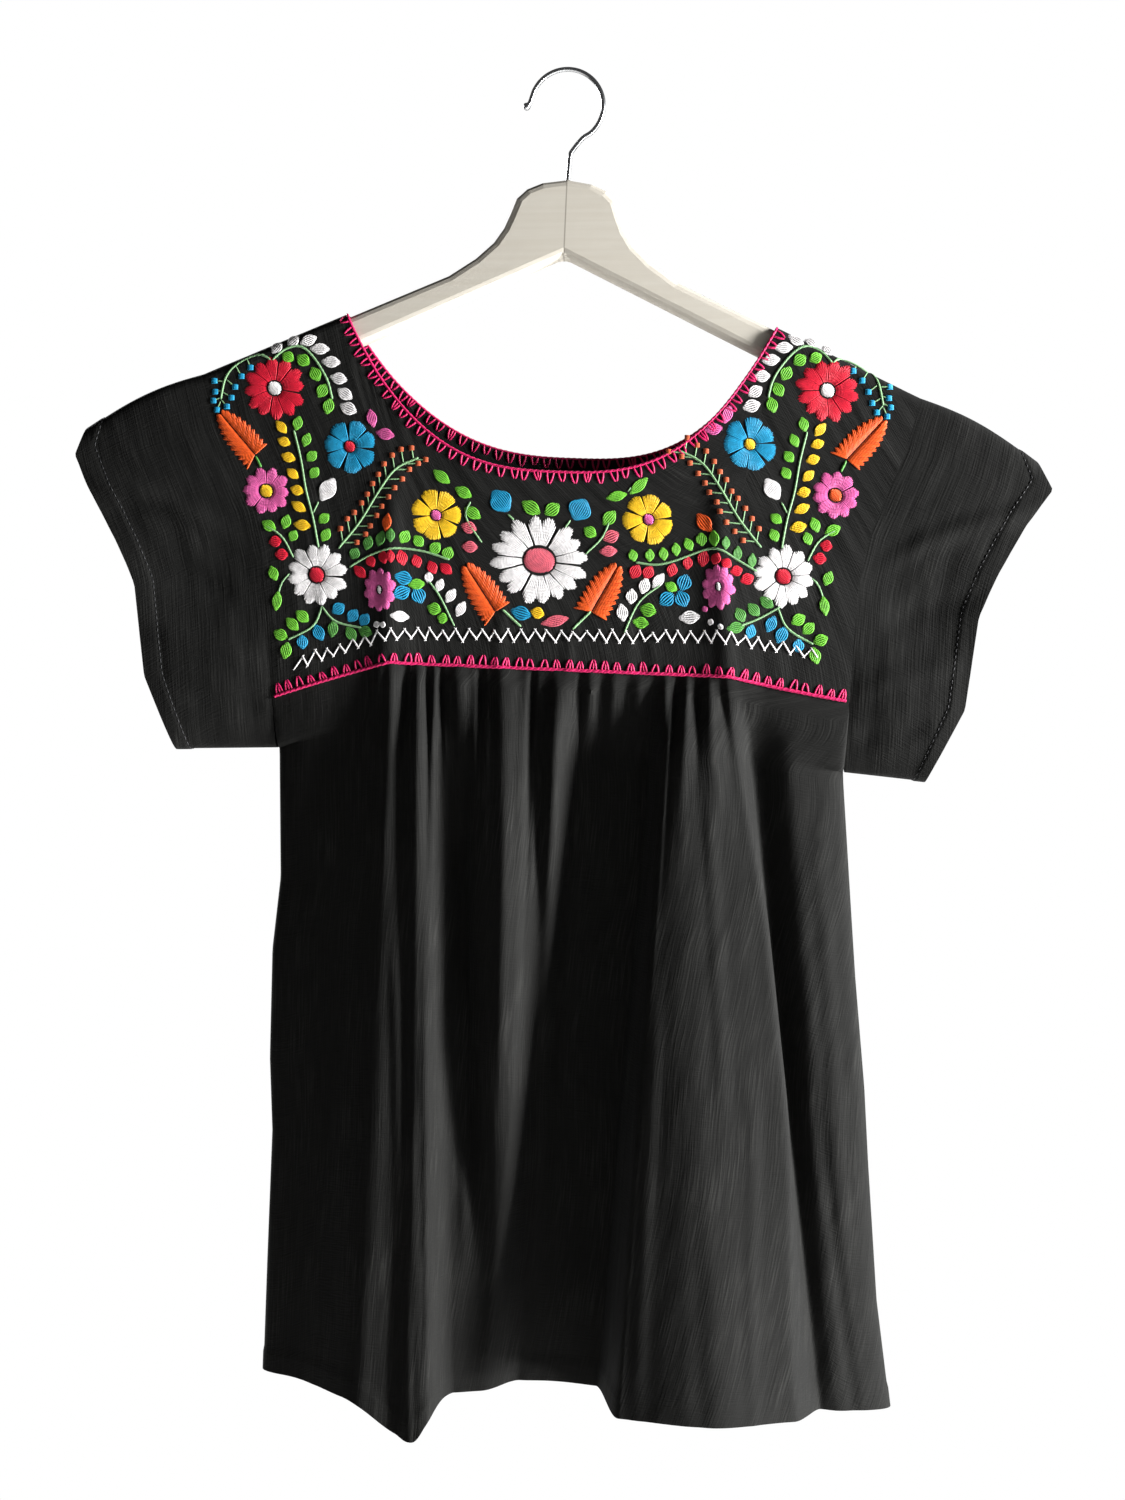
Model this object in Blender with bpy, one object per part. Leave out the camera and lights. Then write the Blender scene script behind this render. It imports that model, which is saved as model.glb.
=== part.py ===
"""Short-sleeved cotton blouse with a gathered body, hung on a wooden hanger with a wire hook.

Every size is in millimetres and is turned to metres when a mesh is made. The garment is worked out level:
x runs across from the hanger's middle line, y from front (minus) to back (plus), z up from the top of the
hook's inside. hang() then tilts it with the hanger. Each cloth piece is a wall of real thickness, laid out on
a grid of points: rows run down the piece and columns run across it.
"""

import math
from collections import namedtuple

import bmesh
import bpy
import numpy as np

METRES_PER_MM = 0.001

# How it hangs
TILT = math.tan(math.radians(2.5))
MIDDLE_X = 3.0
PLUMB_BELOW_Z = -170.0

# Cloth
WALL = 1.2
HEM_WALL = 2.0
HEM_DEPTH = 10.0
SEAM_GAP = 0.25
ARMHOLE_GAP = 0.36

# Yoke
SHOULDER_SLOPE = 0.4535
NECK_HALF_WIDTH = 118.0
NECK_CORNER_Z = -138.0
NECK_POWER = 2.85
SHOULDER_END_X = 196.5
YOKE_HEM_Z = -330.0
YOKE_HEM_DROOP = 16.0
YOKE_HEM_SKEW = 5.5
YOKE_HEM_BREAK_X = 92.0
FOLD_OVER = 8.4
FOLD_DROP = 7.0
FOLD_SQUARENESS = 2.6
RIDGE_OUT = 2.5

SHOULDER_COLUMNS = 7
NECK_COLUMNS = 27
YOKE_ROWS = [0.0, 0.006, 0.022, 0.045, 0.11, 0.22, 0.36, 0.52, 0.68, 0.84, 1.0]

# Armhole
SHOULDER_END_Z = NECK_CORNER_Z - SHOULDER_SLOPE * (SHOULDER_END_X - NECK_HALF_WIDTH)
UNDERARM_Z = -378.0
CLOSING_Z = -290.0
ARMHOLE_SWELL = 3.6

# Body
HEM_Z = -722.0
FOLD_SHOULDER = 0.78
GATHERS_LEFT_X = -100.0
GATHERS_RIGHT_X = 92.0
GATHER_PITCH = 12.0
SIDE_COLUMNS = 11
SIDE_ROUNDNESS = 2.6
HEM_FALL = 1.0 - HEM_DEPTH / (YOKE_HEM_Z - HEM_Z)
BODY_ROWS = [0.0, 0.02, 0.05, 0.088, 0.14, 0.22, 0.32, 0.44, 0.58, 0.74, 0.88, HEM_FALL, 1.0]

# Sleeve
SLEEVE_TOP_Z = -206.0
SLEEVE_LOW_Z = -381.0
SLEEVE_HALF_DEPTH = 13.0
SLEEVE_CROWN = 4.0
SLEEVE_FOLD = 1.6
SLEEVE_COLUMNS = 14
SLEEVE_ROWS = [0.0, 0.12, 0.26, 0.42, 0.58, 0.74, 0.87, 1.0]

# Hanger
BOARD_THICKNESS = 13.0
BOARD_EDGE_RADIUS = 4.0
ARM_TOP_X = 63.0
ARM_TOP_Z = -115.0
ARM_END_X = 212.0
ARM_END_RADIUS = 8.0
ARM_LOW_SLOPE = 0.47
ARM_LOW_MIDDLE_Z = -102.6
BLOCK_TOP_Z = -60.5
WIRE_RADIUS = 1.25
LOOP_RADIUS = 20.0
LOOP_MIDDLE_Z = WIRE_RADIUS - LOOP_RADIUS
STEM_TOP_Z = -46.0
WIRE_STANDS_OFF = 0.3
LOOP_START_DEG = -62.0
LOOP_END_DEG = 168.0

# Colours, linear
BLACK_COTTON = (0.012, 0.012, 0.014)
LIMED_WOOD = (0.55, 0.5, 0.42)
ZINC_WIRE = (0.6, 0.6, 0.6)

Armhole = namedtuple("Armhole", "z x")
ARMHOLE = [
    Armhole(z=-173.6, x=196.5),
    Armhole(z=-204.0, x=188.0),
    Armhole(z=-227.0, x=178.0),
    Armhole(z=-250.0, x=168.5),
    Armhole(z=-275.0, x=162.5),
    Armhole(z=-312.0, x=159.5),
    Armhole(z=-346.0, x=157.5),
    Armhole(z=-378.0, x=156.0),
]

Side = namedtuple("Side", "z left right")
SIDES = [
    Side(z=-346.0, left=157.2, right=157.2),
    Side(z=-377.0, left=154.8, right=154.8),
    Side(z=-384.0, left=154.6, right=155.0),
    Side(z=-450.0, left=154.0, right=159.0),
    Side(z=-490.0, left=158.6, right=161.5),
    Side(z=-550.0, left=160.0, right=166.4),
    Side(z=-590.0, left=158.6, right=168.4),
    Side(z=-665.0, left=161.5, right=173.0),
    Side(z=-722.0, left=163.5, right=180.0),
]

SleeveHem = namedtuple("SleeveHem", "z left right")
SLEEVE_HEM = [
    SleeveHem(z=-206.0, left=261.0, right=258.0),
    SleeveHem(z=-222.0, left=266.5, right=266.0),
    SleeveHem(z=-241.0, left=258.0, right=252.0),
    SleeveHem(z=-269.0, left=243.0, right=236.5),
    SleeveHem(z=-292.0, left=233.0, right=226.5),
    SleeveHem(z=-342.0, left=227.5, right=219.0),
    SleeveHem(z=-381.0, left=212.0, right=199.0),
]

# A fold runs between a left and a right foot, moves from its top places to its hem places, rises within its
# soft flanks, and stands out by out_top, out_middle and out_hem. A minus sign makes it a valley. Half way
# down, its right edge hangs over the flank by its lean.
Fold = namedtuple(
    "Fold",
    "top_left top_right hem_left hem_right soft_left soft_right out_top out_middle out_hem lean",
)
# Columns of the grid follow guide lines, so that they run along the folds and not across them.
Guide = namedtuple("Guide", "top hem columns")
Panel = namedtuple(
    "Panel",
    "side neck_depth neck_shift swell ring_top ring_hem gather_out gather_shift smooth_x folds guides "
    "drop_x drop",
)
FRONT = Panel(
    side=-1,
    neck_depth=84.0,
    neck_shift=0.0,
    swell=5.0,
    ring_top=13.0,
    ring_hem=17.0,
    gather_out=2.1,
    gather_shift=0.0,
    smooth_x=38.0,
    folds=[
        Fold(-128, -62, -152, -56, 50, 12, 7, 17, 33, 0),
        Fold(-82, -46, -84, -36, 8, 24, 2, 5, 7, 0),
        Fold(-60, -6, -46, -16, 18, 14, 7, 13, -2, 0),
        Fold(-10, 12, -20, -6, 9, 9, 5, 3, 0, 0),
        Fold(0, 64, -42, 34, 20, 14, -8, -16, -23, 0),
        Fold(51, 102, 21, 142, 13, 16, 6, 14, 26, 12),
        Fold(51, 112, 21, 140, 13, 60, 4, 9, 14, 0),
        Fold(92, 126, 134, 154, 10, 22, -8, -12, -4, 0),
    ],
    guides=[
        Guide(top=-104, hem=-132, columns=12),
        Guide(top=-78, hem=-80, columns=7),
        Guide(top=-60, hem=-58, columns=5),
        Guide(top=-46, hem=-38, columns=12),
        Guide(top=-9, hem=-24, columns=7),
        Guide(top=11, hem=-8, columns=7),
        Guide(top=52, hem=20, columns=8),
        Guide(top=66, hem=36, columns=13),
        Guide(top=91, hem=124, columns=7),
        Guide(top=106, hem=146, columns=0),
    ],
    drop_x=-75.0,
    drop=19.0,
)
BACK = Panel(
    side=1,
    neck_depth=73.0,
    neck_shift=8.0,
    swell=3.0,
    ring_top=15.0,
    ring_hem=33.0,
    gather_out=2.0,
    gather_shift=5.0,
    smooth_x=-50.0,
    folds=[
        Fold(-116, -76, -146, -78, 24, 26, 2, 6, 10, 0),
        Fold(-70, -30, -88, -34, 20, 20, -1, -2, -3, 0),
        Fold(-30, 12, -46, 22, 22, 20, 3, 7, 10, 0),
        Fold(14, 58, 16, 64, 18, 18, -1, -3, -2, 0),
        Fold(58, 102, 56, 132, 22, 30, 3, 8, 12, 0),
    ],
    guides=[
        Guide(top=-112, hem=-138, columns=13),
        Guide(top=-76, hem=-82, columns=14),
        Guide(top=-32, hem=-42, columns=14),
        Guide(top=12, hem=19, columns=14),
        Guide(top=58, hem=58, columns=15),
        Guide(top=104, hem=128, columns=0),
    ],
    drop_x=88.0,
    drop=5.0,
)


def column(table, name):
    return np.array([getattr(row, name) for row in table], float)


def read_down(table, name, z):
    """The table's named value at each height z, read by straight lines between its rows."""
    return np.interp(-np.asarray(z, float), -column(table, "z"), column(table, name))


def ease(t):
    """Zero below 0 and one above 1, with a soft start and end between."""
    t = np.clip(t, 0.0, 1.0)
    return t * t * (3.0 - 2.0 * t)


def hump(t):
    """One at t = 0, falling as a raised cosine to zero at t = -1 and t = 1."""
    return 0.5 + 0.5 * np.cos(np.pi * np.clip(t, -1.0, 1.0))


def lens(t, power):
    """Half of a superellipse: one in the middle, falling upright to zero at t = -1 and t = 1."""
    return (1.0 - np.abs(np.clip(t, -1.0, 1.0)) ** power) ** (1.0 / power)


def hang(points):
    """Tilts the level garment with the hanger; below the shoulders the cloth hangs plumb again."""
    x, y, z = np.moveaxis(np.asarray(points, float), -1, 0)
    sideways = MIDDLE_X + TILT * np.maximum(z, PLUMB_BELOW_Z)
    return np.stack([x + sideways, y, z - TILT * x], axis=-1)


def shoulder_z(x):
    """Height of the shoulder line, which carries on up the hanger's arms inside the neck."""
    return NECK_CORNER_Z + SHOULDER_SLOPE * (NECK_HALF_WIDTH - np.abs(x))


def neck_z(x, panel):
    """Height of the neck edge: a curve flat in the middle and straighter towards the shoulder. Its lowest
    place is moved sideways by the panel's shift, which fades out towards both corners."""
    share = np.clip(x / NECK_HALF_WIDTH, -1.0, 1.0)
    across = np.abs(share - panel.neck_shift / NECK_HALF_WIDTH * (1.0 - share**2))
    return NECK_CORNER_Z - panel.neck_depth * (1.0 - across**NECK_POWER)


def yoke_hem_z(x):
    """Height of the seam between yoke and body: level in front, drooping at the sides."""
    beyond = (np.abs(x) - YOKE_HEM_BREAK_X) / (ARMHOLE[-2].x - YOKE_HEM_BREAK_X)
    droop = YOKE_HEM_DROOP - YOKE_HEM_SKEW * x / ARMHOLE[-2].x
    return YOKE_HEM_Z - droop * np.clip(beyond, 0.0, 1.0)


def yoke_side_z(share):
    """Height of that seam's end, on the left where the share is below 0 and else on the right."""
    return yoke_hem_z(np.where(share < 0, -ARMHOLE[-2].x, ARMHOLE[-2].x))


def yoke_depth(x, z, swell):
    """Distance of the yoke from the middle plane: a bend over the hanger's board, then a soft swell with a
    ridge below each end of the neck. Towards the sides it becomes the armhole's edge, which closes to
    nothing at the underarm."""
    below = shoulder_z(x) - z
    depth = FOLD_OVER * lens(np.clip(1.0 - below / FOLD_DROP, 0.0, 1.0), FOLD_SQUARENESS)
    low = ease((NECK_CORNER_Z - 40.0 - z) / 150.0)
    ridges = RIDGE_OUT * low * (hump((x + YOKE_HEM_BREAK_X) / 22.0) + hump((x - YOKE_HEM_BREAK_X) / 22.0))
    edge = np.clip(np.abs(x) / read_down(ARMHOLE, "x", z), 0.0, 1.0) ** 6
    depth += (swell * ease((below - FOLD_DROP) / 120.0) + ridges) * (1.0 - edge)
    depth += ARMHOLE_SWELL * ease((below - FOLD_DROP) / 60.0) * edge
    closing = lens((CLOSING_Z - z) / (CLOSING_Z - UNDERARM_Z), 3.0)
    return depth * (1.0 - edge + np.where(z < CLOSING_Z, closing, 1.0) * edge)


def armhole_depth(z):
    """The same distance along the armhole's edge."""
    return yoke_depth(read_down(ARMHOLE, "x", z), z, 0.0)


def yoke_grid(panel):
    """Columns share out the shoulders and the neck; rows run from the top edge to the gathered seam."""
    neck_part = NECK_HALF_WIDTH / SHOULDER_END_X
    shoulder = np.linspace(neck_part, 1.0, SHOULDER_COLUMNS)
    neck = neck_part * np.sin(np.linspace(-0.5, 0.5, NECK_COLUMNS) * np.pi)
    share = np.concatenate([-shoulder[::-1], neck[1:-1], shoulder])
    down = np.array(YOKE_ROWS)
    top_x = share * (SHOULDER_END_X - ARMHOLE_GAP)
    top_z = np.where(np.abs(top_x) < NECK_HALF_WIDTH, neck_z(top_x, panel), shoulder_z(top_x))
    low_z = yoke_hem_z(share * ARMHOLE[-2].x) + SEAM_GAP
    z = top_z + (low_z - top_z) * down[:, None]
    edge_z = SHOULDER_END_Z + (yoke_side_z(share) - SHOULDER_END_Z) * down[:, None]
    x = share * (read_down(ARMHOLE, "x", edge_z) - ARMHOLE_GAP)
    y = panel.side * (yoke_depth(x, z, panel.swell) + SEAM_GAP)
    return np.stack([x, y, z], axis=-1)


def fold_moves(x, fall, panel):
    """What the large folds add to a panel, outwards and sideways: each is a crowned strip with two soft
    flanks, and moves from its place at the yoke to its place at the hem. Its lean grows from its middle to
    its right edge, and fades out towards the yoke and the hem."""
    depth = np.zeros(np.broadcast(x, fall).shape)
    sideways = depth.copy()
    for fold in panel.folds:
        left = fold.top_left + (fold.hem_left - fold.top_left) * fall
        right = fold.top_right + (fold.hem_right - fold.top_right) * fall
        out = np.interp(fall, [0.0, 0.5, 1.0], [fold.out_top, fold.out_middle, fold.out_hem])
        crown = FOLD_SHOULDER + (1.0 - FOLD_SHOULDER) * hump((2.0 * x - left - right) / (right - left))
        flank = ease((right - x) / fold.soft_right)
        depth = depth + out * crown * ease((x - left) / fold.soft_left) * flank
        over = ease((2.0 * x - left - right) / (0.8 * (right - left))) * flank
        sideways = sideways + fold.lean * over * ease(fall / 0.35) * ease((1.0 - fall) / 0.45)
    return depth, sideways


def gather_depth(x, fall, panel):
    """Fine gathers under the yoke: waves of uneven height that fade out at uneven lengths."""
    wave = np.cos(2.0 * np.pi * (x - GATHERS_LEFT_X + panel.gather_shift) / GATHER_PITCH)
    uneven = 0.72 + 0.28 * np.sin(x / 8.7 + panel.gather_shift)
    length = 0.2 + 0.08 * np.sin(x / 13.0 + 1.3 + panel.gather_shift)
    start = 0.45 + 0.55 * ease(fall / 0.03)
    inside = ease((x - GATHERS_LEFT_X + 6.0) / 12.0) * ease((GATHERS_RIGHT_X + 6.0 - x) / 12.0)
    valley = 1.0 - 0.6 * hump((x - panel.smooth_x) / 26.0)
    return panel.gather_out * wave * uneven * start * inside * valley * np.exp(-((fall / length) ** 2))


def body_columns(panel):
    """Where each column starts along the yoke, and how far it moves sideways on its way to the hem."""
    half = ARMHOLE[-2].x
    top, hem = column(panel.guides, "top"), column(panel.guides, "hem")
    pairs = zip(panel.guides, panel.guides[1:])
    inner = [np.linspace(a.top, b.top, a.columns, endpoint=False) for a, b in pairs]
    turn = np.sin(np.linspace(0.0, 0.5, SIDE_COLUMNS + 1) * np.pi)
    left = top[0] + (-half - top[0]) * turn[:0:-1]
    right = top[-1] + (half - top[-1]) * turn
    start = np.concatenate([left] + inner + [right])
    sideways = np.interp(start, np.r_[-half, top, half], np.r_[0.0, hem - top, 0.0])
    return start, sideways


def body_grid(panel):
    """A half ring from side seam to side seam: a flat lens in section, with its folds and gathers on top."""
    start, sideways = body_columns(panel)
    share = start / ARMHOLE[-2].x
    fall = np.array(BODY_ROWS)[:, None]
    beside = start + sideways - panel.drop_x
    drop = panel.drop * hump(beside / np.where(beside < 0.0, 38.0, 15.0))
    top_z = yoke_hem_z(start) - SEAM_GAP
    z = top_z + (HEM_Z - drop - top_z) * fall
    width = np.where(share < 0, read_down(SIDES, "left", z), read_down(SIDES, "right", z))
    x = start + sideways * fall + np.sign(share) * (width - ARMHOLE[-2].x) * share**4
    side_z = yoke_side_z(share)
    edge_z = side_z + (HEM_Z - side_z) * fall
    edge = np.where(edge_z > UNDERARM_Z, armhole_depth(edge_z), 0.0)
    ring = ease(fall / 0.12)
    held = armhole_depth(side_z) * (1.0 - ring)
    rounded = lens(share, SIDE_ROUNDNESS)
    depth = panel.ring_top + (panel.ring_hem - panel.ring_top) * fall
    at_yoke = yoke_depth(x[0], z[0], panel.swell) - armhole_depth(side_z)
    folds, lean = fold_moves(x, fall, panel)
    out = folds * ring + gather_depth(start, fall, panel)
    held = held + (edge - held) * np.abs(share) ** 10
    y = held + at_yoke * (1.0 - ring) + (depth * ring + out) * rounded
    return np.stack([x + lean, panel.side * (y + SEAM_GAP), z], axis=-1)


def sleeve_grid(side):
    """A tube: rows run out from the armhole to the sleeve's hem, columns down its front and up its back."""
    down = 0.5 - 0.5 * np.cos(np.linspace(0.0, 1.0, SLEEVE_COLUMNS) * np.pi)
    down = np.insert(down, 1, 0.005)
    out = np.array(SLEEVE_ROWS)[:, None]
    arm_z = SHOULDER_END_Z + (UNDERARM_Z - SHOULDER_END_Z) * down
    arm_x = read_down(ARMHOLE, "x", arm_z) + ARMHOLE_GAP
    hem_z = SLEEVE_TOP_Z + (SLEEVE_LOW_Z - SLEEVE_TOP_Z) * down
    hem_x = read_down(SLEEVE_HEM, "left" if side < 0 else "right", hem_z)
    x = arm_x + (hem_x - arm_x) * out
    crown = SLEEVE_CROWN * np.sin(np.pi * out) * (1.0 - down) ** 3
    z = arm_z + (hem_z - arm_z) * out + crown
    depth = armhole_depth(arm_z) * (1.0 - out) + SLEEVE_HALF_DEPTH * lens(2.0 * down - 1.0, 4.0) * out
    soft = SLEEVE_FOLD * np.sin(np.pi * out) * np.sin(3.0 * np.pi * down)
    soft = soft * ease(down / 0.4) * ease((1.0 - down) / 0.1)
    front = np.stack([x, -(depth + soft), z], axis=-1)
    back = np.stack([x, depth - soft, z], axis=-1)
    ring = np.concatenate([front, back[:, -2:0:-1]], axis=1)
    return ring * np.array([side, 1.0, 1.0])


def squared(normals, at_seam):
    """Turns the wall's end faces square to the seam's plane, so that two walls that meet there stay apart."""
    turned = normals.copy()
    turned[at_seam, 1] = 0.0
    return turned / np.linalg.norm(turned, axis=-1, keepdims=True)


def grid_normals(grid, closed):
    """Unit vectors square to the sheet at each point, from the points on either side of it."""
    if closed:
        across = np.roll(grid, -1, axis=1) - np.roll(grid, 1, axis=1)
    else:
        across = np.gradient(grid, axis=1)
    normal = np.cross(np.gradient(grid, axis=0), across)
    return normal / np.linalg.norm(normal, axis=-1, keepdims=True)


def wall_mesh(name, grid, normals, thickness, closed=False):
    """Two skins half the thickness to each side of the grid, joined along the open edges."""
    rows, columns = grid.shape[:2]
    half = np.broadcast_to(thickness, (rows, columns))[..., None] / 2.0
    outer, inner = grid + normals * half, grid - normals * half
    points = np.concatenate([outer.reshape(-1, 3), inner.reshape(-1, 3)])
    index = np.arange(rows * columns).reshape(rows, columns)
    if closed:
        index = np.concatenate([index, index[:, :1]], axis=1)
    corners = index[:-1, :-1], index[1:, :-1], index[1:, 1:], index[:-1, 1:]
    a, b, c, d = (corner.ravel() for corner in corners)
    skin = np.concatenate([np.stack([a, b, c], axis=1), np.stack([a, c, d], axis=1)])
    back_skin = skin[:, ::-1] + rows * columns
    rims = [index[0], index[-1, ::-1]]
    if not closed:
        rims += [index[::-1, 0], index[:, -1]]
    edges = []
    for rim in rims:
        start, end = rim[:-1], rim[1:]
        low_start, low_end = start + rows * columns, end + rows * columns
        edges += [np.stack([start, end, low_end], axis=1)]
        edges += [np.stack([start, low_end, low_start], axis=1)]
    faces = np.concatenate([skin, back_skin] + edges)
    return add_object(name, hang(points), faces)


def add_object(name, points, faces):
    """A mesh object from points in millimetres and triangles, with its faces turned outwards."""
    points = np.asarray(points, float) * METRES_PER_MM
    corners = points[np.asarray(faces)]
    if np.linalg.det(corners).sum() < 0:
        faces = np.asarray(faces)[:, ::-1]
    mesh = bpy.data.meshes.new(name)
    mesh.from_pydata(points.tolist(), [], np.asarray(faces).tolist())
    mesh.shade_smooth()
    mesh.set_sharp_from_angle(angle=math.radians(50.0))
    made = bpy.data.objects.new(name, mesh)
    bpy.context.scene.collection.objects.link(made)
    return made


def add_material(made, name, colour, roughness, metallic=0.0):
    material = bpy.data.materials.new(name)
    material.use_nodes = True
    shader = material.node_tree.nodes["Principled BSDF"]
    shader.inputs["Base Color"].default_value = (*colour, 1.0)
    shader.inputs["Roughness"].default_value = roughness
    shader.inputs["Metallic"].default_value = metallic
    material.diffuse_color = (*colour, 1.0)
    made.data.materials.append(material)


def build_yoke(name, panel):
    grid = yoke_grid(panel)
    normals = grid_normals(grid, closed=False)
    at_seam = np.zeros(grid.shape[:2], bool)
    at_seam[0] = np.abs(grid[0, :, 0]) > NECK_HALF_WIDTH - 1.0
    return wall_mesh(name, grid, squared(normals, at_seam), WALL)


def build_body(name, panel):
    grid = body_grid(panel)
    normals = grid_normals(grid, closed=False)
    at_seam = np.zeros(grid.shape[:2], bool)
    at_seam[:, [0, -1]] = grid[:, [0, -1], 2] < UNDERARM_Z
    normals = squared(normals, at_seam)
    thickness = np.full(grid.shape[:2], WALL)
    thickness[-2:] = HEM_WALL
    return wall_mesh(name, grid, normals, thickness)


def build_sleeve(name, side):
    grid = sleeve_grid(side)
    thickness = np.full(grid.shape[:2], WALL)
    thickness[-1:] = HEM_WALL
    return wall_mesh(name, grid, grid_normals(grid, closed=True), thickness, closed=True)


def board_outline():
    """Right half of the hanger seen from the front: a dome, a hollow shoulder, a straight arm with a round
    end, and a straight underside that rises to the middle."""
    dome = [(0.0, BLOCK_TOP_Z), (13.5, BLOCK_TOP_Z - 2.0), (22.0, -66.2), (27.5, -71.5)]
    hollow = [(30.5, -80.0), (33.8, -88.0), (39.0, -96.0), (48.5, -105.0), (ARM_TOP_X, ARM_TOP_Z)]
    round_x = ARM_END_X - ARM_END_RADIUS
    end_top = ARM_TOP_Z - SHOULDER_SLOPE * (round_x - ARM_TOP_X)
    end_low = ARM_LOW_MIDDLE_Z - ARM_LOW_SLOPE * round_x
    middle_z, half = 0.5 * (end_top + end_low), 0.5 * (end_top - end_low)
    turn = np.linspace(0.0, np.pi, 9)
    end = [(round_x + ARM_END_RADIUS * math.sin(t), middle_z + half * math.cos(t)) for t in turn]
    return dome + hollow + end + [(0.0, ARM_LOW_MIDDLE_Z)]


def build_board(name):
    """One face of the board, extruded to its thickness and rounded over along all its edges."""
    right = board_outline()
    outline = right + [(-x, z) for x, z in right[-2:0:-1]]
    points = hang([(x, -0.5 * BOARD_THICKNESS, z) for x, z in outline]) * METRES_PER_MM
    shape = bmesh.new()
    face = shape.faces.new([shape.verts.new(point) for point in points])
    moved = bmesh.ops.extrude_face_region(shape, geom=[face])["geom"]
    moved = [part for part in moved if isinstance(part, bmesh.types.BMVert)]
    bmesh.ops.translate(shape, verts=moved, vec=(0.0, BOARD_THICKNESS * METRES_PER_MM, 0.0))
    bmesh.ops.recalc_face_normals(shape, faces=shape.faces)
    mesh = bpy.data.meshes.new(name)
    shape.to_mesh(mesh)
    shape.free()
    board = bpy.data.objects.new(name, mesh)
    bpy.context.scene.collection.objects.link(board)
    bevel = board.modifiers.new("rounded edges", "BEVEL")
    bevel.width = BOARD_EDGE_RADIUS * METRES_PER_MM
    bevel.segments = 3
    bevel.limit_method = "ANGLE"
    bevel.angle_limit = math.radians(50.0)
    mesh.shade_smooth()
    mesh.set_sharp_from_angle(angle=math.radians(50.0))
    return board


def hook_route():
    """Up from the board, a short kink to the loop's lower right, round over the top, and out at the tip."""
    loop_x = -MIDDLE_X - TILT * LOOP_MIDDLE_Z
    stem = [(0.0, BLOCK_TOP_Z + WIRE_STANDS_OFF), (0.3, -54.0), (0.8, STEM_TOP_Z), (2.4, -42.6)]
    turn = np.radians(np.linspace(LOOP_START_DEG, LOOP_END_DEG, 22))
    loop = [(loop_x + LOOP_RADIUS * math.cos(t), LOOP_MIDDLE_Z + LOOP_RADIUS * math.sin(t)) for t in turn]
    tip_x, tip_z = loop[-1]
    tip = [(tip_x - 0.9, tip_z - 3.0), (tip_x - 2.6, tip_z - 5.2), (tip_x - 4.4, tip_z - 6.4)]
    return stem + loop + tip


def build_hook(name):
    """Round wire along the route, with filled ends."""
    route = hang([(x, 0.0, z) for x, z in hook_route()]) * METRES_PER_MM
    curve = bpy.data.curves.new(name, "CURVE")
    curve.dimensions = "3D"
    curve.bevel_depth = WIRE_RADIUS * METRES_PER_MM
    curve.bevel_resolution = 2
    curve.use_fill_caps = True
    spline = curve.splines.new("POLY")
    spline.points.add(len(route) - 1)
    for point, place in zip(spline.points, route):
        point.co = (*place, 1.0)
    hook = bpy.data.objects.new(name, curve)
    bpy.context.scene.collection.objects.link(hook)
    return hook


def main():
    for old in list(bpy.data.objects):
        bpy.data.objects.remove(old)
    for name, panel in (("yoke_front", FRONT), ("yoke_back", BACK)):
        add_material(build_yoke(name, panel), f"{name} black cotton", BLACK_COTTON, 0.85)
    for name, panel in (("body_front", FRONT), ("body_back", BACK)):
        add_material(build_body(name, panel), f"{name} black cotton", BLACK_COTTON, 0.85)
    for name, side in (("sleeve_left", -1), ("sleeve_right", 1)):
        add_material(build_sleeve(name, side), f"{name} black cotton", BLACK_COTTON, 0.85)
    add_material(build_board("hanger_wood"), "limed wood", LIMED_WOOD, 0.65)
    add_material(build_hook("hanger_hook"), "zinc-plated wire", ZINC_WIRE, 0.35, 1.0)


main()
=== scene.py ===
import math
from collections import namedtuple

import bpy
import numpy as np
from bpy.props import FloatProperty, FloatVectorProperty, PointerProperty
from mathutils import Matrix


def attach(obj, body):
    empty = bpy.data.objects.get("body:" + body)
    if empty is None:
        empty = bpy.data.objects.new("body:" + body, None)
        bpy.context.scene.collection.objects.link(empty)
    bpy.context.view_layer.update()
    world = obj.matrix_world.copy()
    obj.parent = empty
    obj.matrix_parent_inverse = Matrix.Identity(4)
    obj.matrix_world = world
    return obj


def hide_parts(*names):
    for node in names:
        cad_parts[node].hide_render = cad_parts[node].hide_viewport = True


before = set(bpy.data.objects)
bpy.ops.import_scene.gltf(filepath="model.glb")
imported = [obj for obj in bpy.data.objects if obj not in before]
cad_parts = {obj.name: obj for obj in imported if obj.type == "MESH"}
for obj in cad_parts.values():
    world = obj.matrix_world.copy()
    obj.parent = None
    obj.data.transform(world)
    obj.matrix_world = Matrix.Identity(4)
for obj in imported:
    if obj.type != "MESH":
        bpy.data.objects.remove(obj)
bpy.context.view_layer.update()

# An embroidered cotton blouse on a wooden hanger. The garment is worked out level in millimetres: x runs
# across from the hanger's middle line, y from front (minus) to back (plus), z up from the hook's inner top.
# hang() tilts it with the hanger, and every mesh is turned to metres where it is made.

bl_info = {
    "name": "Embroidered blouse on a hanger",
    "version": (1, 0, 0),
    "blender": (4, 5, 0),
    "location": "3D View > Sidebar > Blouse",
    "description": "Dresses the blouse's frame with cotton cloth, stitching, embroidery, wood and wire",
    "category": "Object",
}

MM = 0.001

# How it hangs
TILT = math.tan(math.radians(2.5))
MIDDLE_X = 3.0
PLUMB_BELOW_Z = -170.0

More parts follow.
